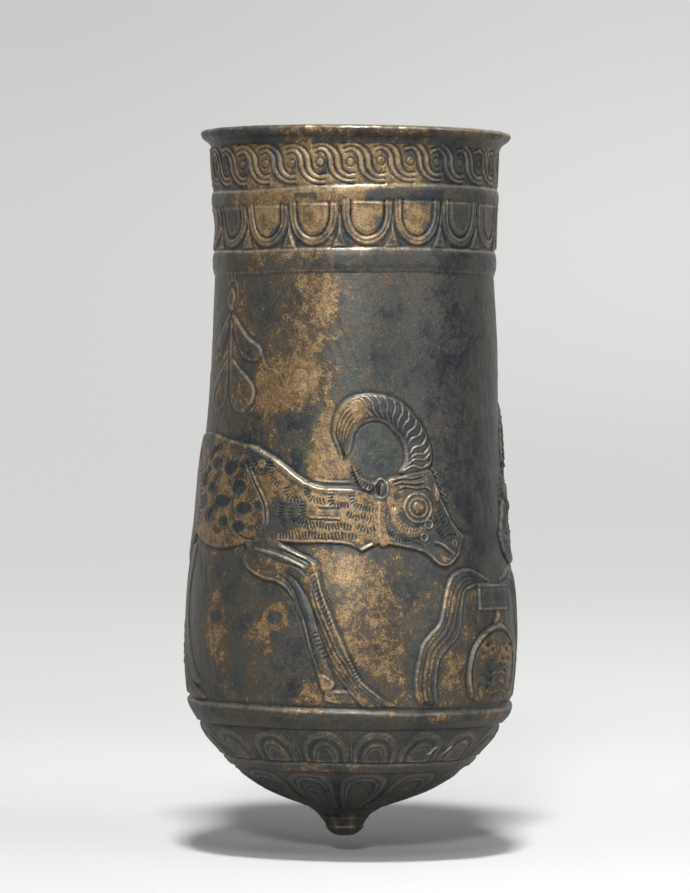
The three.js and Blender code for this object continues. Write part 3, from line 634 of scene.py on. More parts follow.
    # the horn, curled round an open field that keeps its dark patina
    horn_outer = line_of((
        -3.4, 80.8, -5.6, 83.4, -7.5, 86, -7.1, 89, -5, 91.5, -2, 93, 2, 93.8, 7, 94.1, 12, 93.8,
        17, 93, 21, 91.5, 25, 89.2, 28, 87, 30, 84.5, 31.2, 82, 30.6, 79.2))
    outer = flowing(at(horn_outer))
    inner = smooth(
        -2.2, 81.2, -0.9, 83.2, 0, 85.8, 2.6, 87.9, 6.6, 88.9, 10, 89, 13, 88.4, 16, 86.8, 19, 85,
        20.5, 82.6, 20.2, 80, 17.6, 78)
    brow = smooth(30.6, 79.2, 26, 77.9, 21, 77.4, 17.6, 78)
    sheet.form(
        np.vstack([outer, brow, inner[::-1]]), 0.68, edge=1.1, crown=0.15, chased=0.08, ridge=0.0)
    sheet.bead(outer, 0.3, 0.2, 0.8, tapered=0.04)
    sheet.bead(inner, 0.28, 0.18, 0.8, tapered=0.04)
    for k in range(13):
        share = 0.40 + 0.58 * k / 12
        place = int(share * (len(outer) - 1))
        out = outer[place]
        ahead = inner[min(len(inner) - 1, int((share + 0.03) * (len(inner) - 1)))]
        rib = ahead - out
        wave = line_of((0, 0, 0.3, 1, 0.62, -0.6, 0.92, 0))
        along = outer[min(len(outer) - 1, place + 2)] - out
        along = along / max(np.hypot(*(along * (0.58, 1))), 1e-6)
        line = out + wave[:, :1] * rib + 0.06 * wave[:, 1:] * along * np.hypot(*rib)
        sheet.bead(flowing(line), 0.2, 0.24, 0.8, tapered=0.1)
        sheet.rubbed(
            flowing(line + along * (0.85, 0.85)), 0.8, -0.7 if 0.5 < share < 0.84 else -0.25)
    tip_inner = line_of((-3, 80.9, -2.4, 82, -1.4, 83.6, -0.5, 85.2, 0.6, 86.6, 2, 87.8))
    for share in (0.2, 0.36, 0.52, 0.68, 0.84):
        sheet.chase(
            flowing(at((1 - share) * horn_outer[:6] + share * tip_inner)), 0.3, 0.24, tapered=0.08)

    ear = shape(0.1, 80.3, 1.6, 78.6, 4, 77.1, 7.5, 76.2, 9.4, 76.4, 8.2, 74.9, 6, 74, 3.6, 74.5,
                2, 75.6, 0.6, 77.4, -0.2, 79)
    sheet.form(ear, 0.55, edge=0.9, chased=0.05, ridge=0.1)
    sheet.hatch(
        smooth(0.8, 78.4, 1.8, 77, 3.6, 75.9, 6.2, 75.2, 8, 75.4), 9, 1.5, depth=0.24)
    lobe = at(oval(10.7, 74.7, 2.3, 2.0))
    sheet.wear(lobe, -0.9, 0.4)
    sheet.bead(looped(lobe), 0.24, 0.22, 0.8)
    sheet.bead(smooth(14, 76.4, 20, 77.4, 26, 78, 30, 78.6), 0.22, 0.12, 0.5, tapered=0.1)


# the plant and the palmettes
def draw_plant(sheet, axis):
    """Two stems arch inwards to a box, with a bulb under it, as drawn at the first plant."""
    def about(*line):
        return line_of(line) + (axis, 0)

    for sign in (-1, 1):
        def stem(*line):
            angle, height = line_of(line).T
            return flowing(np.column_stack([axis + sign * (PLANT_AXIS - angle), height]))

        near = stem(24.2, 30.2, 23, 33, 22.7, 36, 23.9, 40, 25, 42.4, 28, 44.6, 31.4, 46.6,
                    33, 49.4, 34, 52, 35.6, 54.6, 38, 56.6, 42, 57.7, 46, 57.8, 50, 57, 54, 55.9,
                    57.2, 55.4)
        far = stem(31.6, 30, 30.3, 33, 30.5, 37, 31.6, 39.8, 35, 42, 38, 43.6, 40, 46, 41, 49.8,
                   42, 52.4, 44, 53.9, 50, 54.8, 57, 54.7)
        sheet.form(np.vstack([near, far[::-1]]), 0.34, edge=0.9, chased=0.12, ridge=0.0)
        sheet.bead(near, 0.34, 0.22, 0.34, tapered=0.03)
        sheet.bead(far, 0.32, 0.2, 0.34, tapered=0.03)
        for share in (0.3, 0.55, 0.78):
            middle = [near[int(s * (len(near) - 1))] * (1 - share)
                      + far[int(s * (len(far) - 1))] * share for s in np.linspace(0.01, 0.98, 16)]
            sheet.chase(flowing(middle), 0.34, 0.2)
    box = about(-10.6, 49.6, 10.6, 49.4, 10.8, 54.3, -10.4, 54.5)
    sheet.form(box, 0.24, edge=0.6, chased=0.1, ridge=0)
    ends = looped(box)
    for start, end in zip(ends, ends[1:]):
        sheet.bead((start, end), 0.28, 0.2, 0.4)
    panel = box + line_of((1.6, 0.8, -1.6, 0.8, -1.6, -0.8, 1.6, -0.8))
    sheet.form(panel, 0.2, edge=0.4, chased=0.16, ridge=0.05)
    sheet.wear(panel, -0.6, 0.4)
    knot = about(0.2, 49.6, -0.6, 48, -2.6, 46.6, 0, 45.8, 3, 46.4, 1.8, 48)
    sheet.form(closed(knot), 0.5, edge=0.9, chased=0)
    bulb = about(-14.4, 31, -16.6, 35, -15.8, 39.6, -13.2, 42.6, -8.5, 45, -3, 46.2, 3, 46.4,
                 8.5, 45, 13.2, 42.6, 15.8, 39.6, 16.6, 35, 14.4, 31, 7, 30, -7, 30)
    sheet.form(closed(bulb), 0.42, edge=1.2, chased=0.12, ridge=0)
    rim = flowing(about(-13.6, 31, -15.8, 35, -15, 39.4, -12.4, 42.2, -8, 44.4, 0, 45.9, 8, 44.4,
                        12.4, 42.2, 15, 39.4, 15.8, 35, 13.6, 31))
    sheet.bead(rim, 0.4, 0.22, 0.34, tapered=0.04)
    sheet.chase(flowing(rim[::6] * (0.93, 1) + (axis * 0.07, -0.55)), 0.5, 0.2)
    dice = np.random.default_rng(7)
    for _ in range(70):
        angle, height = axis + dice.uniform(-11, 12), dice.uniform(31.5, 43)
        sheet.boss(angle, height, dice.uniform(0.5, 1.1), dice.uniform(-0.3, 0.24), 0.6)
    sheet.boss(axis - 5, 36.4, 2.5, -0.5, 1.1)
    for height in (38.6, 36.2, 34.2, 32.4):
        vein = about(-9, height + 0.6, -4, height - 0.6, 1, height, 7, height - 0.9)
        sheet.cord(flowing(vein), 0.3, 0.24, tapered=0.2)
    sheet.cord(flowing(about(1, 39, 3, 37.6, 6.4, 36.4)), 0.3, 0.26)


def draw_palmette(sheet, axis):
    """A palmette, worn low, that hangs over the ram's back, its leaves curled out from a rib."""
    for sign in (-1, 1):
        def at(*line):
            return flowing(line_of(line) * (sign, 1) + (axis, 0))

        upper = at(0.4, 110.9, 3, 109.9, 6.3, 108.3, 12.8, 105.4, 17.9, 104, 19.4, 102.2,
                   16.5, 100.7, 12, 101, 8.6, 101.8, 5.2, 104.2, 2.4, 107.4)
        lower = at(1.2, 101.8, 6.3, 99.5, 12, 97.4, 15.8, 95.3, 15.6, 93, 13.6, 91.4, 10.5, 90.4,
                   6.3, 90.6, 2.4, 92.6, 1.2, 96)
        for leaf in (upper, lower):
            sheet.form(leaf, 0.26, edge=1.1, crown=0.08, crown_reach=2.0, chased=0.12, ridge=0.06)
        for line, half_width, rise, shine in (
                (upper[:21], 0.38, 0.18, 0.8), (lower[:21], 0.3, 0.12, 0.6),
                (lower[20:36], 0.26, 0.1, 0.4)):
            sheet.bead(line, half_width, rise, shine, tapered=0.1)
        for line in ((3, 106.4, 6.5, 104, 11.6, 102.6, 15.6, 102.6),
                     (3.4, 99.4, 7.4, 97, 10.6, 94.8, 11.6, 92.6)):
            sheet.chase(at(*line), 0.34, 0.14, tapered=0.1)
        sheet.bead(at(18.5, 103.4, 22, 99.6, 26, 99, 29, 97.6, 30.8, 95.6), 0.3, 0.08, 0.3,
                   tapered=0.15)
        sheet.bead(at(0.8, 118.2, 3.2, 116.8, 4, 114.4, 2.8, 112), 0.28, 0.12, 0.4, tapered=0.1)
        sheet.bead(at(0.2, 117.6, 1, 118.4, 1.8, 119.3), 0.28, 0.14, 0.5)
    sheet.form(oval(axis, 113.8, 2.8, 2.4), 0.3, edge=1.2)
    sheet.bead((axis, 110.6, axis + 0.6, 96), 0.4, 0.16, 0.4, tapered=0.08)


# the bands
def draw_wall(sheet):
    """Ridges, tongues, guilloche and frieze, on whatever part of the wall this sheet covers."""
    angles, heights = sheet.angles, sheet.heights
    wave = 0.1 * ripple(angles, np.zeros(1), 3, 7, 9, 100)[0]
    for low, high, hang in ((FIELD_TOP, TONGUE_BASE, 0.4 * (sag(angles) + 0.5)),
                            (TONGUE_TOP, GUILLOCHE_BASE, sag(angles))):
        level = heights[:, None] - (hang + wave)[None, :]
        share = (level - low) / (high - low)
        top = np.sin(np.pi * np.clip(share, 0, 1))
        sheet.lift += 0.42 * np.clip(1.25 * top, 0, 1) ** 0.8 * (0.78 + 0.22 * top)
        # The lip at each ridge's top edge is rubbed a little and marked shinier than the one at
        # its foot: partly wear, partly a painted highlight on the edge that faces up.
        for edge in (low, high):
            lip = np.exp(-((level - edge - (0.25 if edge == low else -0.35)) / 0.3) ** 2)
            sheet.lift -= 0.07 * np.exp(-((level - edge) / 0.5) ** 2)
            sheet.lift += 0.1 * lip
            sheet.bare += (0 if edge == low else 0.12) * lip
            sheet.shine = np.maximum(sheet.shine, (0.2 if edge == low else 0.8) * lip)
    ledge = heights[:, None] + ledge_hang(angles)[None, :] - LEDGE
    sheet.lift -= 0.2 * np.exp(-((ledge - 0.4) / 0.4) ** 2)
    if heights[-1] > FIELD_TOP + 1:
        for k in range(TONGUES):
            draw_tongue(sheet, TONGUE_START + k * 360 / TONGUES)
        for k in range(GUILLOCHES):
            draw_guilloche(sheet, GUILLOCHE_START + k * 360 / GUILLOCHES)
    if heights[0] < FIELD_TOP - 1:
        for mirrored in (True, False):
            draw_ram(sheet, mirrored)
        draw_plant(sheet, PLANT_AXIS)
        draw_plant(sheet, FACING_AXIS + 180)
        draw_palmette(sheet, PALMETTE_AXIS)
        draw_palmette(sheet, 2 * FACING_AXIS - PALMETTE_AXIS)


def by_eye(angle, places, drops):
    """A drop in mm that changes slowly round the beaker, given at some places in degrees."""
    turned = (np.asarray(angle, float) + 180) % 360 - 180
    line = flowing(np.column_stack([places, drops]), 6)
    return np.interp(turned, line[:, 0], line[:, 1])


def sag(angle):
    """How far the upper bands hang below their mean level, in mm."""
    return by_eye(angle, (-180, -90, -45, -30, -15, 0, 15, 30, 50, 90, 180),
                  (-0.3, -0.9, -1.0, -0.8, -0.45, -0.1, 0.15, 0.32, 0.3, 0.1, -0.3))


def ledge_hang(angle):
    """How far the ledge over the lap hangs below its mean level, in mm."""
    return by_eye(angle, (-180, -90, -60, -32, 0, 35, 65, 90, 180),
                  (0, -0.15, 0.05, 0.25, 0.7, 0.95, 0.85, 0.5, 0))


def draw_tongue(sheet, axis):
    """A round-ended tongue with a second U inside it, and the small peak beside it."""
    hand = 0.35 * math.sin(axis * 1.7)
    hang = float(0.4 * (sag(axis) + 0.5))
    top = TONGUE_TOP + 0.9 + float(sag(axis))

    def u(half, up, deep):
        turn = np.linspace(0, math.pi, 15)
        around = np.column_stack([axis + hand - half * np.cos(turn),
                                  TONGUE_BASE + up + hang + deep * (1 - np.sin(turn))])
        return np.vstack([[(around[0, 0], top)], around, [(around[-1, 0], top)]])

    sheet.form(u(10.1, 0.4, 6.6), 0.3, edge=0.9, chased=0.14, ridge=0.15)
    sheet.chase(u(6.6, 2.4, 4.4), 0.44, 0.26)
    sheet.bead(u(7.6, 1.7, 5.0), 0.26, 0.12, 0.5)
    sheet.form(u(5.7, 3.0, 3.9), 0.36, edge=0.8, chased=0, ridge=0.1)
    peak = line_of((-3.2, 0.1, 3.2, 0.1, 0.3, 4.1, -0.3, 4.1, 0, 7.1, 0, 3.1))
    peak += (axis + 180 / TONGUES, TONGUE_BASE + hang)
    sheet.form(peak[:4], 0.2, edge=0.7, chased=0.1)
    sheet.bead(peak[4:], 0.26, 0.14, 0.6, tapered=0.2)


def draw_guilloche(sheet, axis):
    """A ring with a dot in it, and the strand that runs over it and under the next.

    Each of the strand's three lines is a quarter of an oval over this ring, which goes over into a
    quarter of an oval under the next one.
    """
    scale = NECK_RADIUS * RADIAN
    pitch = 360 / GUILLOCHES * scale
    middle = GUILLOCHE_MIDDLE + 0.6 * float(sag(axis)) + 0.15 * math.sin(axis * 0.9)
    quarter = np.linspace(0, math.pi / 2, 9)
    lines = []
    for right, up, down, lead, tail in ((1.45, 2.3, 4.35, 1.4, 1.3), (2.85, 3.35, 3.4, 1.9, 1.4),
                                        (4.4, 4.3, 2.35, 2.0, 1.35)):
        over = [(-lead, up * math.sqrt(max(0.0, 1 - (lead / (right + 0.9)) ** 2)) - 0.1)]
        over += [(right * math.sin(t), up * math.cos(t)) for t in quarter]
        under = [(pitch - (pitch - right) * math.cos(t), -down * math.sin(t)) for t in quarter[1:]]
        end = (pitch + tail, -down * math.sqrt(max(0.0, 1 - (tail / (pitch - right + 0.6)) ** 2)))
        lines.append(np.array(over + under + [end]) / (scale, 1) + (axis, middle))
    for line in lines:
        sheet.chase(line, 0.32, 0.26, tapered=0.03)
    for first, second in ((lines[0], lines[1]), (lines[1], lines[2])):
        between = (first + second) / 2
        sheet.bead(between, 0.5, 0.13, 0.3, tapered=0.08)
        sheet.rubbed(between, 0.8, 0.5)
    sheet.boss(axis, middle, 0.8, 0.08)
    sheet.ring(axis, middle, 0.95, 0.26, -0.2)


def draw_bowl(sheet):
    """Upright tongues under the lap, a ridge, and petals that meet at the foot."""
    lengths = sheet.heights
    wave = 0.14 * ripple(sheet.angles, np.zeros(1), 5, 6, 8, 100)
    level = lengths[:, None] + wave
    ridge = (level - RIDGE_START) / (RIDGE_END - RIDGE_START)
    top = np.sin(np.pi * np.clip(ridge, 0, 1))
    sheet.lift += 0.36 * np.clip(1.5 * top, 0, 1) ** 0.7
    for edge, side in ((RIDGE_START, 0.3), (RIDGE_END, -0.3)):
        lip = np.exp(-((level - edge - side) / 0.26) ** 2)
        sheet.lift += 0.1 * lip - 0.1 * np.exp(-((level - edge) / 0.34) ** 2)
        sheet.shine = np.maximum(sheet.shine, 0.35 * lip)
    sheet.lift -= 0.12 * np.exp(-((level - BOWL_LENGTH + 0.2) / 0.3) ** 2)
    if lengths[-1] > RIDGE_END:
        for k in range(BOWL_TONGUES):
            draw_bowl_tongue(sheet, laid_out(BOWL_TONGUE_START + k * 360 / BOWL_TONGUES))
        # Two painted glints on lower tongues: short beads marked very shiny and rubbed bright, so
        # that they take a pale painted highlight.
        for angle in (35.4, 43.6):
            glint = (angle - 1.5, 27.4, angle + 1.5, 29.6)
            sheet.bead(glint, 0.42, 0.3, 2.2, tapered=0.2)
            sheet.rubbed(glint, 0.4, 1.6)
    if lengths[0] < RIDGE_START - 1:
        for k in range(BOWL_PETALS):
            draw_petal(sheet, BOWL_PETAL_START + k * 360 / BOWL_PETALS, k % 2)


def arch_over(axis, side):
    """A smooth arch: one side of it, drawn from the foot to the peak, and its mirror image."""
    left = line_of(side) * (-1, 1)
    return flowing(np.vstack([left, left[-2::-1] * (-1, 1)]) + (axis, 0))


def draw_bowl_tongue(sheet, axis):
    """An upright tongue of four arches, one in the other, with two fine lines beside it."""
    def arch(half, down):
        peak = BOWL_LENGTH - down
        return arch_over(axis, (
            half, RIDGE_END + 0.3, 0.99 * half, peak - 4.4, 0.9 * half, peak - 2.6,
            0.62 * half, peak - 0.9, 0.3 * half, peak - 0.15, 0, peak))

    sheet.form(arch(9.3, 0.7), 0.14, edge=1.0, chased=0.08, ridge=0.1)
    sheet.bead(arch(7.9, 1.6), 0.22, 0.08, 0.4)
    sheet.chase(arch(6.3, 2.5), 0.34, 0.14)
    sheet.form(arch(5.6, 2.9), 0.3, edge=0.9, chased=0, ridge=0.12)
    sheet.bead(arch(3.6, 4.6), 0.22, 0.08, 0.35)
    for side in (-0.9, 0.9):
        between = (axis + 10 + side, RIDGE_END + 0.5, axis + 10 + 0.6 * side, BOWL_LENGTH - 3)
        sheet.bead(between, 0.2, 0.07, 0.35, tapered=0.15)


def draw_petal(sheet, axis, ribbed):
    """A petal with its lines, which are drawn closer where it is ribbed."""
    def petal(half, down):
        peak = RIDGE_START - down
        return arch_over(axis, (
            half, 3, half, peak - 8, 0.97 * half, peak - 4, 0.8 * half, peak - 1.6,
            0.45 * half, peak - 0.3, 0, peak))

    sheet.form(petal(13.4, 0.6), 0.14, edge=1.0, chased=0.1, ridge=0.08)
    sheet.bead(petal(11.6, 1.3), 0.22, 0.08, 0.3)
    sheet.bead(petal(8.8, 2.6), 0.25, 0.1, 0.35)
    sheet.chase(petal(7.8, 3.2), 0.34, 0.12)
    if ribbed:
        for down, half in ((4.6, 6.2), (6.6, 5.2), (8.8, 4.4), (10.8, 3.6)):
            sheet.bead(petal(half, down)[9:-9], 0.22, 0.1, 0.4, tapered=0.1)
    for side in (-1.4, 1.4):
        between = (axis + 15 + side, RIDGE_START - 2, axis + 15 + 0.6 * side, 4)
        sheet.chase(between, 0.3, 0.08, tapered=0.1)


def laid_out(angle):
    """The place of a lower tongue: they were laid out by eye, wider apart at the front left."""
    turned = (angle + 180) % 360 - 180
    return angle - 5 * math.exp(-((turned + 56) / 32) ** 2)


# rolled bodies
def all_off():
    """Leaves edit mode and selects nothing."""
    if bpy.context.object and bpy.context.object.mode != "OBJECT":
        bpy.ops.object.mode_set(mode="OBJECT")
    bpy.ops.object.select_all(action="DESELECT")


def new_body(name):
    """Names the piece that was just added."""
    body = bpy.context.object
    body.name = body.data.name = name
    return body


def spots_of(mesh):
    """The mesh's points, one to a row."""
    spots = np.empty(3 * len(mesh.vertices), np.float32)
    mesh.vertices.foreach_get("co", spots)
    return spots.reshape(-1, 3)


def reshape(mesh, spots, marks):
    """Moves the points of a mesh and writes the marks that its material reads."""
    mesh.vertices.foreach_set("co", spots.astype(np.float32).ravel())
    for mark, values in marks.items():
        attribute = mesh.attributes.new(mark, "FLOAT", "POINT")
        attribute.data.foreach_set("value", values.astype(np.float32))
    mesh.update()


def lean(height):
    """How far the lower end has been drawn over to the left, in mm."""
    return FOOT_LEAN * (1 - softly(height, 3, 17))


def rolled(name, angles, radii, heights, lining, marks):
    """Rolls a hammered sheet, and the smooth sheet behind it, into one closed body.

    radii and heights have a row for each step up the outside. lining has the radius and height of
    the inside from the top down. marks are the sheet's values that the patina reads.
    """
    rows, cols = radii.shape
    lining = np.asarray(lining, float)
    radii = np.vstack([radii, np.repeat(lining[:, :1], cols, axis=1)])
    heights = np.vstack([heights, np.repeat(lining[:, 1:], cols, axis=1)])
    count = len(radii)
    all_off()
    bpy.ops.mesh.primitive_grid_add(x_subdivisions=cols - 1, y_subdivisions=count, size=2)
    body = new_body(name)
    flat = spots_of(body.data)
    col = np.rint((flat[:, 0] + 1) / 2 * (cols - 1)).astype(int)
    row = np.rint((flat[:, 1] + 1) / 2 * count).astype(int) % count
    turn = angles[col] * RADIAN
    radius = radii[row, col]
    tall = heights[row, col]
    spots = np.column_stack([radius * np.sin(turn) - lean(tall), -radius * np.cos(turn), tall])
    marks = {key: np.vstack([values, np.zeros((len(lining), cols))])[row, col]
             for key, values in marks.items()}
    reshape(body.data, spots * MM, {**marks, "inside": row >= rows})

    bpy.ops.object.mode_set(mode="EDIT")
    bpy.ops.mesh.select_all(action="SELECT")
    bpy.ops.mesh.remove_doubles(threshold=WELD)
    # A full turn closes on itself, and a part of one has two open ends
    if angles[-1] - angles[0] < 359.9:
        bpy.ops.mesh.select_all(action="DESELECT")
        bpy.ops.mesh.select_non_manifold()
        bpy.ops.mesh.fill_holes(sides=0)
    bpy.ops.object.mode_set(mode="OBJECT")
    bpy.ops.object.shade_smooth_by_angle(angle=SHARP)
    return body


def finished(body, finish, node):
    """Gives a piece its finish, hangs it under the root, and hides the part that it stands for."""
    body.data.materials.clear()
    body.data.materials.append(finish)
    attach(body, "root")
    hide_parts(node)


def dents(angles, heights):
    """The unevenness of a beaker raised by hand, in mm: its belly leans left, its neck right."""
    side = np.sin(angles * RADIAN)[None, :]
    tall = heights[:, None]
    left = np.clip(-side, 0, 1)
    return (left * (0.55 * softly(tall, 135, 146) - 0.55 * np.exp(-((tall - 129.5) / 3.2) ** 2)
                    - 0.35 * softly(tall, 34, 44) * (1 - softly(tall, 62, 80)))
            + side * (0.32 * np.exp(-((tall - 104) / 11) ** 2)
                      - 0.3 * np.exp(-((tall - 68) / 11) ** 2))
            + 0.1 * ripple(angles, heights, 11, 6, 4, 110)
            + 0.045 * ripple(angles, heights, 12, 12, 26, 16)
            + 0.02 * ripple(angles, heights, 13, 16, 90, 4))


def marks_of(sheet):
    """The sheet's values that the patina reads."""
    return {"bare": sheet.bare, "worn": sheet.edges(), "green": sheet.green, "shine": sheet.shine}


def overlapping(rows):
    """The rows with a few more beyond each end, so that wear runs on across a joint."""
    more = np.arange(1, OVERLAP + 1)
    return run(rows[0] - (rows[1] - rows[0]) * np.append(more[::-1], 0), rows,
               rows[-1] + (rows[-1] - rows[-2]) * np.append(0, more))


def trimmed(sheet):
    """Lift and marks of an overlapping sheet without the rows beyond its ends."""
    return (sheet.lift[OVERLAP:-OVERLAP],
            {key: values[OVERLAP:-OVERLAP] for key, values in marks_of(sheet).items()})


def lined(name, angles, heights, radii, step, marks):
    """Rolls a part of the wall, with its smooth inside behind it, which has rows a step apart."""
    low, high = heights[0], heights[-1]
    back = np.linspace(high, low, max(2, int((high - low) / step) + 1))
    tall = np.repeat(heights[:, None], len(angles), axis=1)
    body = rolled(name, angles, radii, tall, np.column_stack([inside_radius(back), back]), marks)
    finished(body, wall_finish, "wall")


def wall_piece(name, low, high, angles, row, zone=()):
    """One closed part of the wall between two heights, with what is hammered into it.

    row is the step between its rows, which is finer in the zone.
    """
    if zone:
        heights = run(spread(low, zone[0], row), spread(*zone, FINE_ROW),
                      spread(zone[1], high, row))
    else:
        heights = spread(low, high, row)
    rows = overlapping(heights)
    sheet = Sheet(angles, rows, wall_radius(rows))
    draw_wall(sheet)
    wear_wall(sheet)
    lift, marks = trimmed(sheet)
    hang = ledge_hang(angles)[None, :] * (1 - softly(heights, LEDGE, LEDGE + 5))[:, None]
    radii = wall_radius(heights[:, None] + hang) + lift + dents(angles, heights)
    lined(name, angles, heights, radii, 8, marks)


# where the patina is worn
def wear_wall(sheet):
    """Patches of bare bronze and of dark patina, as the photographed side has them."""
    sheet.patches(
        (0.6, 4, (-54, 125, 27, 125, 30, 152, -52, 152)),
        (-0.55, 0.8, (-33, 143.5, 3, 2.5), (-12, 141, 2.2, 1.6), (6, 139.6, 3, 1.4),
         (17, 140.6, 2.4, 1.3), (-47, 141, 3, 2.4), (22, 145, 3, 1.4), (-22, 128, 2, 3),
         (-3, 126.4, 3, 1.6), (19, 126.6, 2.6, 2)),
        (-1.1, 0.6, (4, 134.2, 36, 134.2, 37, 137, 20, 137.2, 5, 136.8)),
        (-0.9, 0.6, (-25, 134.8, -15, 134.8, -15, 136.2, -24, 136)),
        (-0.7, 0.7, (-34, 127.6, 2.6, 2), (-12.6, 128.4, 1.8, 2.2), (9.4, 129, 1.7, 2.4),
         (29.6, 128, 2, 2.4), (21, 131.6, 1.4, 1.2)),
        (-0.3, 0.9, (-8, 119.6, 50, 119.6, 50, 123.8, -8, 124)),
        (-0.35, 3, (29, 124, 60, 124, 60, 148, 31, 148)),
        (-0.5, 1.5, (35, 138, 40, 138, 39, 148, 33, 148)),
        (-0.3, 2, (-62, 124, -50, 124, -52, 133, -64, 133)),
        (0.5, 1.0, (-16.7, 129.6, 6, 3.6)),
        (0.62, 1.0, (4.5, 129.6, 6, 3.6)),
        (0.68, 1.0, (25.7, 129.6, 6, 3.6)),
        (0.55, 1.0, (-38, 129.6, 6, 3.6)),
        (-0.45, 1.0, (-5, 129, 3.2, 4.2), (14.5, 129, 3.2, 4.2), (-29, 129, 3.2, 4.2),
         (36, 129, 3.2, 4.2)),
        (-0.7, 0.7, (8, 130, 2.6, 1.5)),
        (-0.6, 0.7, (29, 129, 2, 1.6)),
        (-0.65, 0.7, (-18.6, 130.6, 2.4, 1.2)),
        (-0.45, 0.7, (-15.4, 128.2, 1.4, 1.5)),
        (-0.5, 0.7, (2, 128.2, 1.5, 1.2)),
        (-0.55, 0.7, (23.4, 130.8, 2, 1.1), (-39.4, 129.8, 2.2, 1.7)),
        (-0.5, 0.8, (-34, 138, -29, 138, -32, 146, -35, 146)),
        # the field round the ram
        (0.34, 0.7, (-14, 62.4, 8, 60.4, 12, 56.4, 15.4, 53, 19, 50.4, 17, 47.6, 14, 46.6, 19, 45,
         18.6, 42, 16, 40, 19, 37.6, 15, 35, 7, 36, 2, 38.6, -3, 45, -8, 52.6, -12, 57)),
        (0.5, 1.6, (-17, 76, 1, 76.4, 0, 80, -3, 82, -7, 86, -6, 90, -10, 92.6, -13, 89, -16, 84,
         -17.6, 80)),
        (0.34, 3, (-30, 91, -20, 92, -12, 94, -11, 100, -8, 106, -4, 112, -2, 119, -24, 119,
         -27, 112, -29, 103)),
        (0.34, 1.6, (-26, 92.6, -15, 92.4, -12.6, 95, -13.6, 99.4, -20, 100, -25, 97)),
        (0.3, 1.4, (-22, 116, -12, 115.4, -11, 119, -22, 119)),
        (-0.26, 2, (-3, 97, 16, 95, 18, 115, 0, 115)),
        (0.5, 1.6, (-46, 90.4, -33, 90, -27, 91.6, -26, 96, -29, 100, -38, 101, -42, 97)),
        (0.16, 3, (-60, 100, -52, 106, -48, 112, -52, 118, -64, 118, -66, 106)),
        # the ram itself
        (0.46, 1.5, (-38, 78, -30, 80, -20, 77, -8, 74.6, 9, 73.4, 10, 63.6, -8, 63.4, -26, 63.6,
         -30, 70, -36, 74)),
        (0.36, 1.8, (10, 76, 30, 78.6, 31, 70, 27, 64.4, 10, 64)),
        (0.62, 1.2, (-7, 84, -7, 90, 0, 93.6, 12, 93.8, 6, 90, -1, 86)),
        (0.24, 1.6, (18, 80, 30, 79, 31, 84, 21, 84)),
        (0.32, 1.6, (30, 79, 37, 71, 45, 66, 42, 60, 32, 59, 29, 66)),
        (-0.5, 1.2, (9.8, 83.2, 9.5, 5.2)),
        (-0.42, 1.0, (15, 67, 3.4, 2.8)),
        (0.85, 0.5, (14.3, 70.5, 14.7, 67.9, 17.6, 66.1, 21.9, 65.4, 25.9, 65.6, 25.4, 66.4,
         20.9, 66.7, 18.1, 67.7, 16.6, 69.2, 16.2, 70.7)),
        (0.55, 1.2, (3, 83, 2.4, 1.6)),
        (-0.3, 1.2, (5, 90.4, 24, 85, 29, 84, 24, 90, 14, 93, 6, 93)),
        (-0.62, 0.9, (-28, 65.4, -24, 65, -19, 67, -17, 70.4, -20, 72.2, -25, 72, -29, 74.4,
         -30, 71)),
        (0.32, 3, (-76, 62, -34, 63, -36, 71, -44, 79, -56, 83, -78, 82)),
        (0.2, 1.4, (-36, 55, -16, 54, -10, 42, -6, 36, 4, 30, 12, 30, 4, 36, -4, 46, -10, 56,
         -16, 60, -30, 62)),
        (-0.4, 0.9, (-18, 55, -14, 48, -10.6, 39, -12.4, 40, -16.4, 48, -20, 54)),
        # the lower left of the field
        (0.4, 1.6, (-62, 51.6, -52, 52.4, -49, 49.6, -47, 40, -50, 37.4, -60, 40)),
        (-0.6, 0.8, (-54, 47.3, 3.4, 1.2)),
        (0.6, 0.8, (-26.6, 47.9, 4.9, 3.0)),
        (-0.8, 0.6, (-27, 47.9, 2.7, 1.3)),
        (0.44, 1.0, (-30, 47, -37, 47.4, -39, 43.6, -35, 42.6, -33, 40.4, -28, 40, -28, 44.4)),
        (0.3, 1.0, (-19, 31, -9, 31, -8.4, 33.4, -14, 34.4, -19, 33)),
        (-0.14, 3, (-72, 30, -20, 30, -16, 40, -24, 53, -40, 55, -72, 56)),
        # the plant
        (0.26, 1.0, (24, 31, 27, 31, 28.4, 38, 28, 42, 36, 47, 40, 55, 36, 56, 33, 48, 25, 42)),
        (0.28, 1.6, (33, 33, 42, 33, 43, 41, 35, 41.6)),
        (0.22, 2, (50, 31, 72, 31, 74, 42, 62, 45.6, 51, 42)),
        (-0.6, 1.2, (56, 36.4, 4, 3.4)),
        # the plain right side keeps nearly all its patina
        (-0.55, 6, (26, 60, 90, 57, 90, 119, 22, 119, 24, 96)),
        # the side that the photograph doesn't show: broad patches of the same kind
        (0.34, 4, (110, 52, 16, 9), (150, 98, 14, 10)),
        (0.3, 4, (128, 70, 20, 7), (196, 60, 9, 14)),
        (0.32, 4, (228, 98, 12, 9)),
        (0.34, 4, (262, 60, 11, 12)),
        (0.26, 4, (240, 40, 12, 6)),
        (0.3, 4, (178, 42, 12, 7)),
        (0.28, 4, (270, 104, 8, 7)))
    for spot in ((-19, 81.6, 1.6, 2.0, 0.9), (11.5, 81.6, 3.6, 2.4, 0.5),
                 (-1.5, 97, 1.4, 2.6, 0.7), (9, 86.6, 3, 1.4, 0.4), (250, 52, 4, 6, 0.5),
                 (140, 50, 3, 5, 0.5)):
        sheet.verdigris(*spot)


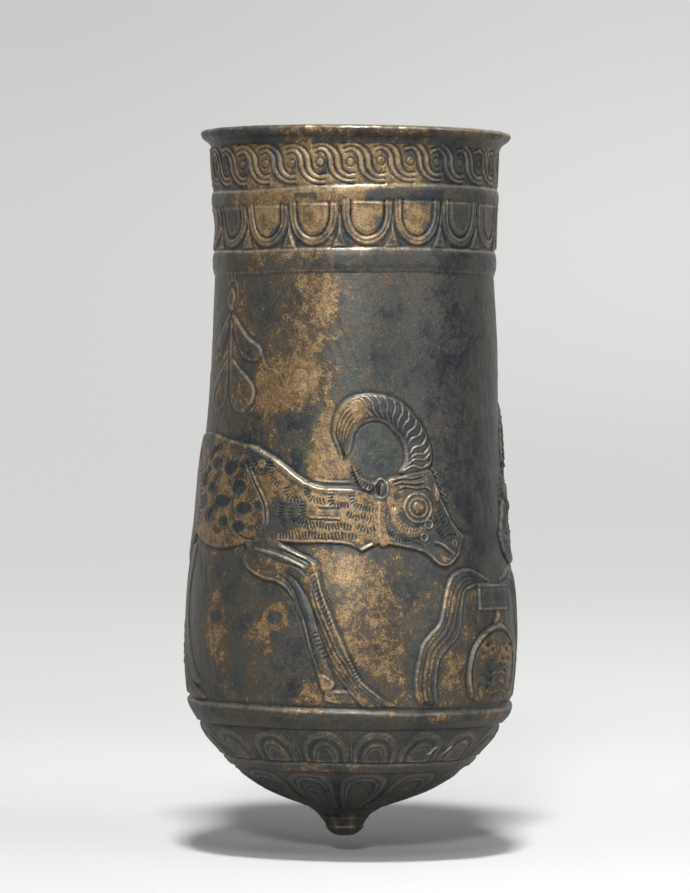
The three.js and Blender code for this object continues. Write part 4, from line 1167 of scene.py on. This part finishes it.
def wear_bowl(sheet):
    """Spots rubbed along the bowl's ridge and on its tongues, over petals that stay dark."""
    middle = (RIDGE_START + RIDGE_END) / 2
    for angle, wide in ((-20, 12), (7, 9), (60, 7), (118, 9), (190, 12), (-120, 9)):
        sheet.wear(oval(angle, middle, wide, 1.2), 0.3, 1.4)
    for angle in (11, -29, 51, 130, 230):
        sheet.wear(oval(angle, RIDGE_END + 4.6, 6, 3.2), 0.2, 2.4)
    sheet.wear((-180, 0, 180, 0, 180, RIDGE_START - 1, -180, RIDGE_START - 1), -0.15, 2)


def wear_lap(sheet):
    """Spots where the plain band over the lap is rubbed."""
    sheet.patches((0.52, 1.3, (-16, 28.8, 6, 0.7), (-21, 28.2, 3, 0.5), (13, 27.9, 3, 0.7),
                   (34, 27.4, 6, 0.8), (27, 26.6, 4, 0.5), (-48, 28.2, 5, 0.7), (60, 27, 9, 1.2),
                   (110, 28, 6, 1), (170, 28.4, 8, 0.8), (240, 27.6, 7, 1.2)))


# finishes
class Finish:
    """A material, built node by node: an input is a value or the output of another node."""

    def __init__(self, name):
        self.material = bpy.data.materials.new(name)
        self.material.use_nodes = True
        self.tree = self.material.node_tree
        self.tree.nodes.clear()

    def add(self, kind, settings=None, **inputs):
        """A shader node; an input is given by its name, or by i and its number."""
        node = self.tree.nodes.new("ShaderNode" + kind)
        for key, value in (settings or {}).items():
            setattr(node, key, value)
        for key, value in inputs.items():
            slot = node.inputs[int(key[1:]) if key[0] == "i" and key[1:].isdigit() else
                               key.replace("_", " ")]
            if isinstance(value, bpy.types.NodeSocket):
                self.tree.links.new(value, slot)
            else:
                slot.default_value = value
        return node.outputs[0] if len(node.outputs) else None

    def math(self, operation, a, b):
        return self.add("Math", {"operation": operation}, i0=a, i1=b)

    def ramp(self, value, *stops):
        node = self.tree.nodes.new("ShaderNodeValToRGB")
        self.tree.links.new(value, node.inputs[0])
        elements = node.color_ramp.elements
        while len(elements) < len(stops):
            elements.new(0.5)
        for element, (place, colour) in zip(elements, stops):
            element.position = place
            element.color = (*colour, 1)
        return node.outputs[0]

    def mix(self, share, a, b, blend="MIX"):
        node = self.tree.nodes.new("ShaderNodeMix")
        node.data_type = "RGBA"
        node.blend_type = blend
        for slot, value in ((0, share), (6, a), (7, b)):
            if isinstance(value, bpy.types.NodeSocket):
                self.tree.links.new(value, node.inputs[slot])
            else:
                node.inputs[slot].default_value = value if slot == 0 else (*value, 1)
        return node.outputs[2]

    def steps(self, value, low, high, to_low=0.0, to_high=1.0):
        return self.add("MapRange", {"interpolation_type": "SMOOTHSTEP"}, Value=value,
                        From_Min=low, From_Max=high, To_Min=to_low, To_Max=to_high)

    def weighted(self, *parts):
        """Sum of values, each with its weight."""
        total = None
        for value, weight in parts:
            value = self.math("MULTIPLY", value, weight)
            total = value if total is None else self.math("ADD", total, value)
        return total

    def noise(self, where, size_mm, detail, rough, warp=0.0):
        return self.add("TexNoise", None, Vector=where, Scale=1000 / size_mm, Detail=detail,
                        Roughness=rough, Distortion=warp)

    def mark(self, name):
        node = self.tree.nodes.new("ShaderNodeAttribute")
        node.attribute_name = name
        return node.outputs["Fac"]


NIGHT = (0.019, 0.022, 0.028)
SLATE = (0.049, 0.054, 0.050)
UMBER = (0.074, 0.063, 0.046)
BROWN = (0.098, 0.067, 0.037)
GOLD = (0.20, 0.129, 0.062)
PALE_GOLD = (0.375, 0.257, 0.134)
PALE_RUBBED_WITH_HIGHLIGHT = (0.50, 0.46, 0.38)
GREEN = (0.035, 0.075, 0.045)
DUST = (0.26, 0.26, 0.24)


def patinated_bronze(name, bias=0.0):
    """Bronze under a dark patina, which has worn through in patches and along what stands out."""
    f = Finish(name)
    where = f.tree.nodes.new("ShaderNodeTexCoord").outputs["Object"]
    bare, worn, green = f.mark("bare"), f.mark("worn"), f.mark("green")
    shine, inside = f.mark("shine"), f.mark("inside")
    broad = f.noise(where, 17, 3, 0.6, 0.4)
    patchy = f.noise(where, 5.2, 6, 0.66, 0.5)
    flecks = f.noise(where, 1.25, 5, 0.68, 0.3)
    grain = f.noise(where, 0.4, 2, 0.6)
    pores = f.noise(where, 0.2, 1, 0.5)

    level = f.weighted((patchy, 1.6), (flecks, 1.2), (grain, 0.7))
    level = f.math("ADD", level, f.math("ADD", bare, bias - 0.5 * (1.6 + 1.2 + 0.7)))
    level = f.math("ADD", level, f.math("MULTIPLY", f.math("MINIMUM", worn, 0.3), 0.9))
    level = f.math("ADD", level, f.math("MULTIPLY", inside, 0.1))
    shows = f.steps(level, 0.2, 0.4)

    dark = f.ramp(f.weighted((broad, 0.6), (patchy, 0.4)),
                  (0.36, NIGHT), (0.5, SLATE), (0.66, UMBER))
    dark = f.mix(f.steps(flecks, 0.42, 0.7, 0, 0.5), dark, UMBER)
    dark = f.mix(f.steps(level, -0.2, 0.3, 0, 0.85), dark, BROWN)
    dark = f.mix(f.steps(level, -0.35, -0.8, 0, 0.85), dark, NIGHT)
    metal = f.ramp(f.weighted((patchy, 0.3), (flecks, 0.4), (grain, 0.2), (pores, 0.1)),
                   (0.35, BROWN), (0.5, GOLD), (0.67, PALE_GOLD))
    metal = f.mix(f.steps(level, 0.6, 1.2, 0, 0.6), metal, PALE_GOLD)
    colour = f.mix(shows, dark, metal)
    speck = f.steps(f.weighted((grain, 0.5), (pores, 0.5)), 0.38, 0.62, 0.74, 1.3)
    # Colour darker in hollows, down to about half, with a speckled strength.
    hollow = f.math("MULTIPLY", f.steps(worn, -0.3, 0.0, 0.5, 1.0), speck)
    colour = f.mix(1.0, colour, f.add("CombineColor", None, Red=hollow, Green=hollow, Blue=hollow),
                   "MULTIPLY")
    colour = f.mix(f.math("MULTIPLY", green, f.steps(flecks, 0.38, 0.6)), colour, GREEN)
    # Where the sheet is marked shiny it is smoother and more metallic, and its colour turns to
    # pale rubbed bronze: partly real polish on what stands out, partly a painted highlight.
    bright = f.math("MULTIPLY", shine, f.steps(flecks, 0.36, 0.58, 0.25, 0.75))
    rubbed_and_highlit = f.math("MULTIPLY", bright, f.steps(level, -0.6, 0.4, 0.42, 0.9))
    colour = f.mix(rubbed_and_highlit, colour, PALE_RUBBED_WITH_HIGHLIGHT)
    dust = f.steps(f.noise(where, 0.55, 1, 0.5), 0.69, 0.76, 0, 0.4)
    colour = f.mix(dust, colour, DUST)

    rough = f.math("ADD", f.steps(flecks, 0.3, 0.75, 0.36, 0.5), f.math("MULTIPLY", bright, -0.24))
    bumps = f.weighted((patchy, 0.9), (flecks, 0.5), (grain, 0.3), (pores, 0.12), (shows, -0.08))
    bump = f.add("Bump", None, Strength=0.6, Distance=0.0002, Height=bumps)
    shader = f.add("BsdfPrincipled", None, Base_Color=colour, Roughness=rough, Normal=bump,
                   Metallic=f.math("ADD", f.steps(shows, 0, 1, 0.22, 0.45),
                                   f.math("MULTIPLY", bright, 0.35)))
    f.add("OutputMaterial", None, Surface=shader)
    return f.material


wall_finish = patinated_bronze("patinated wall bronze")
# The bowl's finish is set darker than the wall's: painted shade for the underside of the bowl.
bowl_finish = patinated_bronze("patinated bowl bronze", -0.13)
foot_finish = patinated_bronze("patinated foot bronze", -0.18)
rove_finish = patinated_bronze("dull rove bronze", 0.1)

# the wall
def lap_piece():
    """The plain band over the lap, under a ledge that hangs lower on one side."""
    angles = spread(-180, 180, LAP_TURN)
    heights = spread(LAP, LEDGE, LAP_ROW)
    sheet = Sheet(angles, heights, wall_radius(heights))
    wear_lap(sheet)
    wave = 0.12 * ripple(angles, np.zeros(1), 21, 6, 9, 100)
    shift = (wave * softly(LEDGE - heights, 0, 1)[:, None]
             + ledge_hang(angles)[None, :] * softly(heights, LAP - 0.5, LAP + 2)[:, None])
    level = np.clip(heights[:, None] + shift, LAP, None)
    hammered = 0.1 * ripple(angles, heights, 22, 12, 30, 6)
    sheet.lift += hammered * softly(heights, LAP, LAP + 1.5)[:, None]
    sheet.lift -= 0.2 * np.exp(-((level - LEDGE - 0.4) / 0.4) ** 2)
    lip = np.exp(-((level - LEDGE + 0.55) / 0.35) ** 2)
    sheet.bare += 0.1 * lip - 0.26
    sheet.shine = np.maximum(sheet.shine, 0.45 * lip)
    dented = dents(angles, heights) * softly(heights, LAP, LEDGE)[:, None]
    radii = wall_radius(level) + sheet.lift + dented
    lined("lap_band", angles, heights, radii, 1.1, marks_of(sheet))


def rim_piece():
    """The rim: a bead turned out, undercut and left a little lumpy, its lip marked shiny all round
    and rubbed bright from the front round to the right, which paints a highlight along it.
    """
    angles = spread(-180, 180, RIM_TURN)
    line = flowing((
        30.74, RIM_JOINT, 30.95, 146.8, 31.35, 147.35, 31.95, 147.8, 32.5, 148.25, 32.8, 148.8,
        32.82, 149.35, 32.55, 149.75, 32.0, 149.97, 31.2, 150, 30.3, 149.9, 29.9, 149.4,
        29.7, 148.2, 29.72, RIM_JOINT), 5)
    radius, height = line[:, :1], line[:, 1:]
    places = np.arange(len(line), dtype=float)
    sheet = Sheet(angles, places, np.full(len(line), 32.0))
    lumps = (0.2 * ripple(angles, places, 31, 9, 26, 60)
             + 0.07 * ripple(angles, places, 32, 12, 80, 20))
    sheet.lift += softly(radius, 30.9, 32.4) * lumps
    sheet.bare += 0.05 + 0.2 * softly(height, 147.2, 149.4)
    sheet.patches((-0.7, 3, (-100, -5, -31, -5, -34, 90, -100, 90)),
                  (-0.5, 2, (32, -5, 40, -5, 41, 90, 31, 90)))
    # The lip on top is rubbed bright and marked shiny: partly wear, partly a painted highlight,
    # strongest from the front to the right.
    lip = np.exp(-((radius - 32.6) / 0.45) ** 2) * (height > 149.3)
    rubbed = softly(angles, -13, -4) * (1 - 0.6 * softly(angles, 50, 75))
    sheet.bare += 0.6 * lip * rubbed
    sheet.shine = np.maximum(sheet.shine, lip * (0.35 + 0.65 * rubbed))
    rise = np.clip(height + 0.35 * sheet.lift * (height < 149), None, RIM_TOP)
    body = rolled("rim_bead", angles, radius + sheet.lift, rise, np.zeros((0, 2)),
                  marks_of(sheet))
    finished(body, wall_finish, "wall")


for name, angles in (
        ("frieze_ram_body", spread(-72, -20, FINE_TURN)),
        ("frieze_ram_head", spread(-20, 32, FINE_TURN)),
        ("frieze_plant", run(spread(32, 46, FINE_TURN), spread(46, 88, PLAIN_TURN))),
        ("frieze_second_ram", spread(88, 188, BACK_TURN)),
        ("frieze_second_plant", spread(188, 288, BACK_TURN))):
    wall_piece(name, LEDGE, FIELD_TOP, angles, FIELD_ROW, FINE_ZONE)
band_angles = spread(-180, 180, BAND_TURN)
wall_piece("tongue_band", FIELD_TOP, BAND_JOINT, band_angles, BAND_ROW)
wall_piece("guilloche_band", BAND_JOINT, RIM_JOINT, band_angles, BAND_ROW)
lap_piece()
rim_piece()


# the bowl
def bowl_piece(name, low, high, step, lining, top=()):
    """One closed part of the bowl between two lengths from the foot."""
    angles = spread(-180, 180, BOWL_TURN)
    lengths = spread(low, high, step)
    rows = overlapping(lengths)
    sheet = Sheet(angles, rows, bowl_point(rows)[0])
    draw_bowl(sheet)
    wear_bowl(sheet)
    lift, marks = trimmed(sheet)
    radius, height = bowl_point(lengths)
    slope = np.gradient(np.column_stack([radius, height]), lengths, axis=0)
    slope /= np.hypot(*slope.T)[:, None]
    lift = lift + 0.5 * dents(angles, lengths) * softly(lengths, 0, 6)[:, None]
    radii = radius[:, None] + slope[:, 1:] * lift
    heights = height[:, None] - slope[:, :1] * lift
    for more_radius, more_height in top:
        radii = np.vstack([radii, np.full(len(angles), more_radius)])
        heights = np.vstack([heights, np.full(len(angles), more_height)])
        marks = {key: np.vstack([value, np.zeros(len(angles))]) for key, value in marks.items()}
    body = rolled(name, angles, radii, heights, lining, marks)
    finished(body, bowl_finish, "base_bowl")


def bowl_inside(length):
    """Radius and height of the bowl's inside at a length from the foot."""
    radius, height = bowl_point(length)
    ahead = bowl_point(min(length + 0.1, BOWL_LENGTH))
    behind = bowl_point(max(length - 0.1, 0))
    way = math.atan2(ahead[1] - behind[1], ahead[0] - behind[0])
    return (radius - BOWL_SHEET * math.sin(way), height + BOWL_SHEET * math.cos(way))


collar = [(32.55, 26.1), (33.15, 27.7), (33.1, 31.2)]
collar_back = [(32.2, 31.2), (32.25, 27.8), (31.7, 26.3)]
bowl_piece("bowl_tongues", BOWL_JOINT, BOWL_LENGTH, TONGUE_ROW,
           collar_back + [bowl_inside(s) for s in np.linspace(BOWL_LENGTH - 1, BOWL_JOINT, 6)],
           top=collar)
floor_top = BOWL_FLOOR + BOWL_SHEET
hole = SHANK + SEAT
bowl_piece("bowl_petals", 0, BOWL_JOINT, PETAL_ROW,
           [bowl_inside(s) for s in np.linspace(BOWL_JOINT, 1.0, 12)]
           + [(FOOT_FLANGE - 0.5, floor_top), (hole, floor_top), (hole, BOWL_FLOOR)])


# the foot and its rove
HAND_WAVES = 14


def turned(name, profile, sides):
    """A round piece drawn up ring by ring from a disc, as on a lathe, and closed at the top."""
    all_off()
    radius, height = profile[0]
    bpy.ops.mesh.primitive_circle_add(vertices=sides, radius=radius * MM, fill_type="NGON",
                                      location=(0, 0, height * MM))
    bpy.ops.object.transform_apply(location=True)
    body = new_body(name)
    bpy.ops.object.mode_set(mode="EDIT")
    bpy.ops.mesh.select_all(action="SELECT")
    for (radius, height), (next_radius, next_height) in zip(profile, profile[1:]):
        bpy.ops.mesh.extrude_region_move(
            TRANSFORM_OT_translate={"value": (0, 0, (next_height - height) * MM)})
        size = next_radius / radius
        bpy.ops.transform.resize(value=(size, size, 1), center_override=(0, 0, next_height * MM))
    bpy.ops.mesh.select_all(action="SELECT")
    bpy.ops.mesh.normals_make_consistent(inside=False)
    bpy.ops.object.mode_set(mode="OBJECT")
    return body


def worked_by_hand(body, amount, size, seed):
    """Small unevenness from casting and hammering, and the marks that the patina reads."""
    spots = spots_of(body.data).astype(float) / MM
    dice = np.random.default_rng(seed)
    push = np.zeros(len(spots))
    for _ in range(HAND_WAVES):
        way = dice.normal(size=3) * 2 * math.pi / size
        push += np.sin(spots @ way + dice.uniform(0, 6.28)) / math.sqrt(HAND_WAVES)
    radius = np.hypot(spots[:, 0], spots[:, 1])
    keep = softly(radius, 1.0, 3.0) * amount
    spots[:, :2] *= (1 + keep * push / np.maximum(radius, 1))[:, None]
    spots[:, 0] -= lean(spots[:, 2])
    reshape(body.data, spots * MM, {"worn": 0.3 * push * softly(radius, 3, 5)})


def softened(body, width):
    """Rounds the edges of a turned piece."""
    for kind, values in (("BEVEL", {"width": width * MM, "segments": 2,
                                    "limit_method": "ANGLE", "angle_limit": 0.5}),
                         ("SUBSURF", {"levels": 1, "render_levels": 1})):
        modifier = body.modifiers.new(kind.lower(), kind)
        for key, value in values.items():
            setattr(modifier, key, value)
        bpy.ops.object.modifier_apply(modifier=modifier.name)
    bpy.ops.object.shade_smooth()


foot = turned("foot_button", [
    (1.5, 0.0), (2.3, 0.22), (3.0, 0.65), (3.6, 1.2), (3.95, 1.6), (4.12, 1.85), (4.12, 2.05),
    (4.02, 2.25), (4.14, 2.6), (4.42, 3.05), (4.74, 3.5), (4.98, 3.7), (5.12, 3.85), (5.12, 4.0),
    (5.3, 4.3), (5.62, 4.65), (FOOT_FLANGE, BOWL_FLOOR), (SHANK, BOWL_FLOOR - 0.05), (SHANK, 7.5),
    (3.3, 7.5), (3.1, 8.3), (2.1, 8.85), (0.6, 9.0)], 56)
softened(foot, 0.05)
worked_by_hand(foot, 0.1, 4.0, 41)
finished(foot, foot_finish, "foot_knob")

rove = turned("rove_washer", [(4.2, 6.22), (4.4, 6.6), (4.35, 6.95), (4.1, 7.2), (2.1, 7.18)], 40)
softened(rove, 0.1)
worked_by_hand(rove, 0.12, 2.6, 42)
finished(rove, rove_finish, "rivet_rove")

# studio
def paper(name):
    """Pale sweep that takes the beaker's shadow. The camera sees its floor brighter than the light
    it bounces, and its tones are painted light: darker on the left, brighter far off, with a back
    that glows for the camera and in reflections.
    """
    f = Finish(name)
    run_out = f.mark("run_out")
    side = f.steps(f.mark("bearing"), -0.08, 0.08)

    def tones(stops):
        return f.ramp(run_out, *((place, (tone, tone, 0.985 * tone)) for place, tone in stops))

    tone = f.mix(side, tones(SWEEP_LEFT), tones(SWEEP_RIGHT))
    path = f.tree.nodes.new("ShaderNodeLightPath")
    seen = f.math("MAXIMUM", path.outputs["Is Camera Ray"], path.outputs["Is Glossy Ray"])
    paper_seen = f.mix(f.steps(run_out, 0.3, 0.345), f.mix(side, FLOOR_LEFT, FLOOR_RIGHT),
                       f.mix(side, FAR_LEFT, FAR_RIGHT))
    floor = f.add("BsdfDiffuse", None, Color=f.mix(path.outputs["Is Camera Ray"], FLOOR_BOUNCE,
                                                  paper_seen))
    back = f.add("Emission", None, Color=tone, Strength=1.0)
    share = f.math("MULTIPLY", f.steps(run_out, BACK_STARTS, BACK_FULL), seen)
    shader = f.add("MixShader", None, i0=share, i1=floor, i2=back)
    f.add("OutputMaterial", None, Surface=shader)
    return f.material


# Painted brightness of the sweep at shares of its length, from the camera's end up the back: it
# falls off up the back as lamp light does, with a pale pool on the right
SWEEP_LEFT = ((0.31, 0.9), (0.33, 0.85), (0.35, 0.82), (0.41, 0.735), (0.49, 0.69), (0.54, 0.66),
              (0.6, 0.65), (0.615, 0.635), (0.64, 0.585))
SWEEP_RIGHT = ((0.31, 1.0), (0.33, 0.99), (0.35, 0.95), (0.376, 0.89), (0.41, 0.80), (0.49, 0.72),
               (0.54, 0.672), (0.561, 0.675), (0.573, 0.71), (0.592, 0.745), (0.605, 0.75),
               (0.622, 0.72), (0.64, 0.672))
BACK_STARTS, BACK_FULL = 0.3, 0.41
# Floor tones that the camera sees, painted light that is darker on the left and brighter far off;
# the floor bounces only a dark grey onto the beaker
FLOOR_LEFT = (0.735, 0.735, 0.73)
FLOOR_RIGHT = (0.835, 0.835, 0.83)
FAR_LEFT = (0.96, 0.96, 0.95)
FAR_RIGHT = (1.0, 1.0, 0.995)
FLOOR_BOUNCE = (0.42, 0.42, 0.42)
# Sizes of the sweep in metres, except for the drop of its floor under the beaker, in mm
FLOOR_DROP = 4.0
SWEEP_LENGTH, SWEEP_NEAR, SWEEP_RUN, SWEEP_BEND, SWEEP_HALF = 6.4, 1.9, 3.2, 1.1, 3.5

EYE = 0.0959
CAMERA_DISTANCE = 1.037
CAMERA_SIDE = -0.0016
CAMERA_DOWN, CAMERA_ROLL = 0.713, 0.57
FOCAL_PIXELS, PHOTO_PIXELS, SENSOR = 4860, 893, 36
FARTHEST = 30
LAMPS_AIM = Vector((0, 0, 0.075))
WORLD_LIGHT = 0.18

all_off()
bpy.ops.mesh.primitive_grid_add(x_subdivisions=2, y_subdivisions=80, size=2)
sweep = new_body("studio_sweep")
spots = spots_of(sweep.data)
run_out = (spots[:, 1] + 1) / 2 * SWEEP_LENGTH
arc = np.clip((run_out - SWEEP_RUN) / SWEEP_BEND, 0, math.pi / 2)
spots[:, 1] = -SWEEP_NEAR + np.minimum(run_out, SWEEP_RUN) + SWEEP_BEND * np.sin(arc)
spots[:, 2] = (SWEEP_BEND * (1 - np.cos(arc)) - FLOOR_DROP * MM
               + np.maximum(run_out - SWEEP_RUN - SWEEP_BEND * math.pi / 2, 0))
spots[:, 0] *= SWEEP_HALF
bearing = spots[:, 0] / np.maximum(spots[:, 1] + 1.04, 0.3)
reshape(sweep.data, spots, {"run_out": run_out / SWEEP_LENGTH, "bearing": bearing})
bpy.ops.object.shade_smooth()
sweep.data.materials.append(paper("pale paper with painted light"))

scene = bpy.context.scene
scene.view_settings.view_transform = "Standard"
world = bpy.data.worlds.new("studio")
scene.world = world
world.use_nodes = True
background = world.node_tree.nodes["Background"]
background.inputs["Color"].default_value = (1, 1, 1, 1)
background.inputs["Strength"].default_value = WORLD_LIGHT


def softbox(name, azimuth, elevation, distance, wide, tall, watts):
    """A soft lamp, placed by its direction from the beaker: azimuth 0 is the camera's side."""
    az, el = azimuth * RADIAN, elevation * RADIAN
    light = bpy.data.lights.new(name, "AREA")
    light.shape = "RECTANGLE"
    light.size, light.size_y = wide, tall
    light.energy = watts
    lamp = bpy.data.objects.new(name, light)
    scene.collection.objects.link(lamp)
    way = Vector((math.sin(az) * math.cos(el), -math.cos(az) * math.cos(el), math.sin(el)))
    lamp.location = LAMPS_AIM + way * distance
    lamp.rotation_euler = way.to_track_quat("Z", "Y").to_euler()


softbox("overhead_box", -1, 60, 1.1, 0.12, 0.14, 11.6)
softbox("low_front_box", -4.5, 20, 3.4, 0.3, 0.36, 44)
softbox("high_front_box", 0.5, 45, 3.4, 0.36, 0.36, 10)
softbox("right_panel", 52, 10, 2.6, 0.55, 1.8, 14)

camera_data = bpy.data.cameras.new("camera")
camera_data.lens = FOCAL_PIXELS / PHOTO_PIXELS * SENSOR
camera_data.sensor_width = SENSOR
camera_data.clip_end = FARTHEST
camera = bpy.data.objects.new("camera", camera_data)
scene.collection.objects.link(camera)
camera.location = (CAMERA_SIDE, -CAMERA_DISTANCE, EYE)
camera.rotation_euler = (Matrix.Rotation((90 - CAMERA_DOWN) * RADIAN, 4, "X")
                         @ Matrix.Rotation(CAMERA_ROLL * RADIAN, 4, "Z")).to_euler()
scene.camera = camera
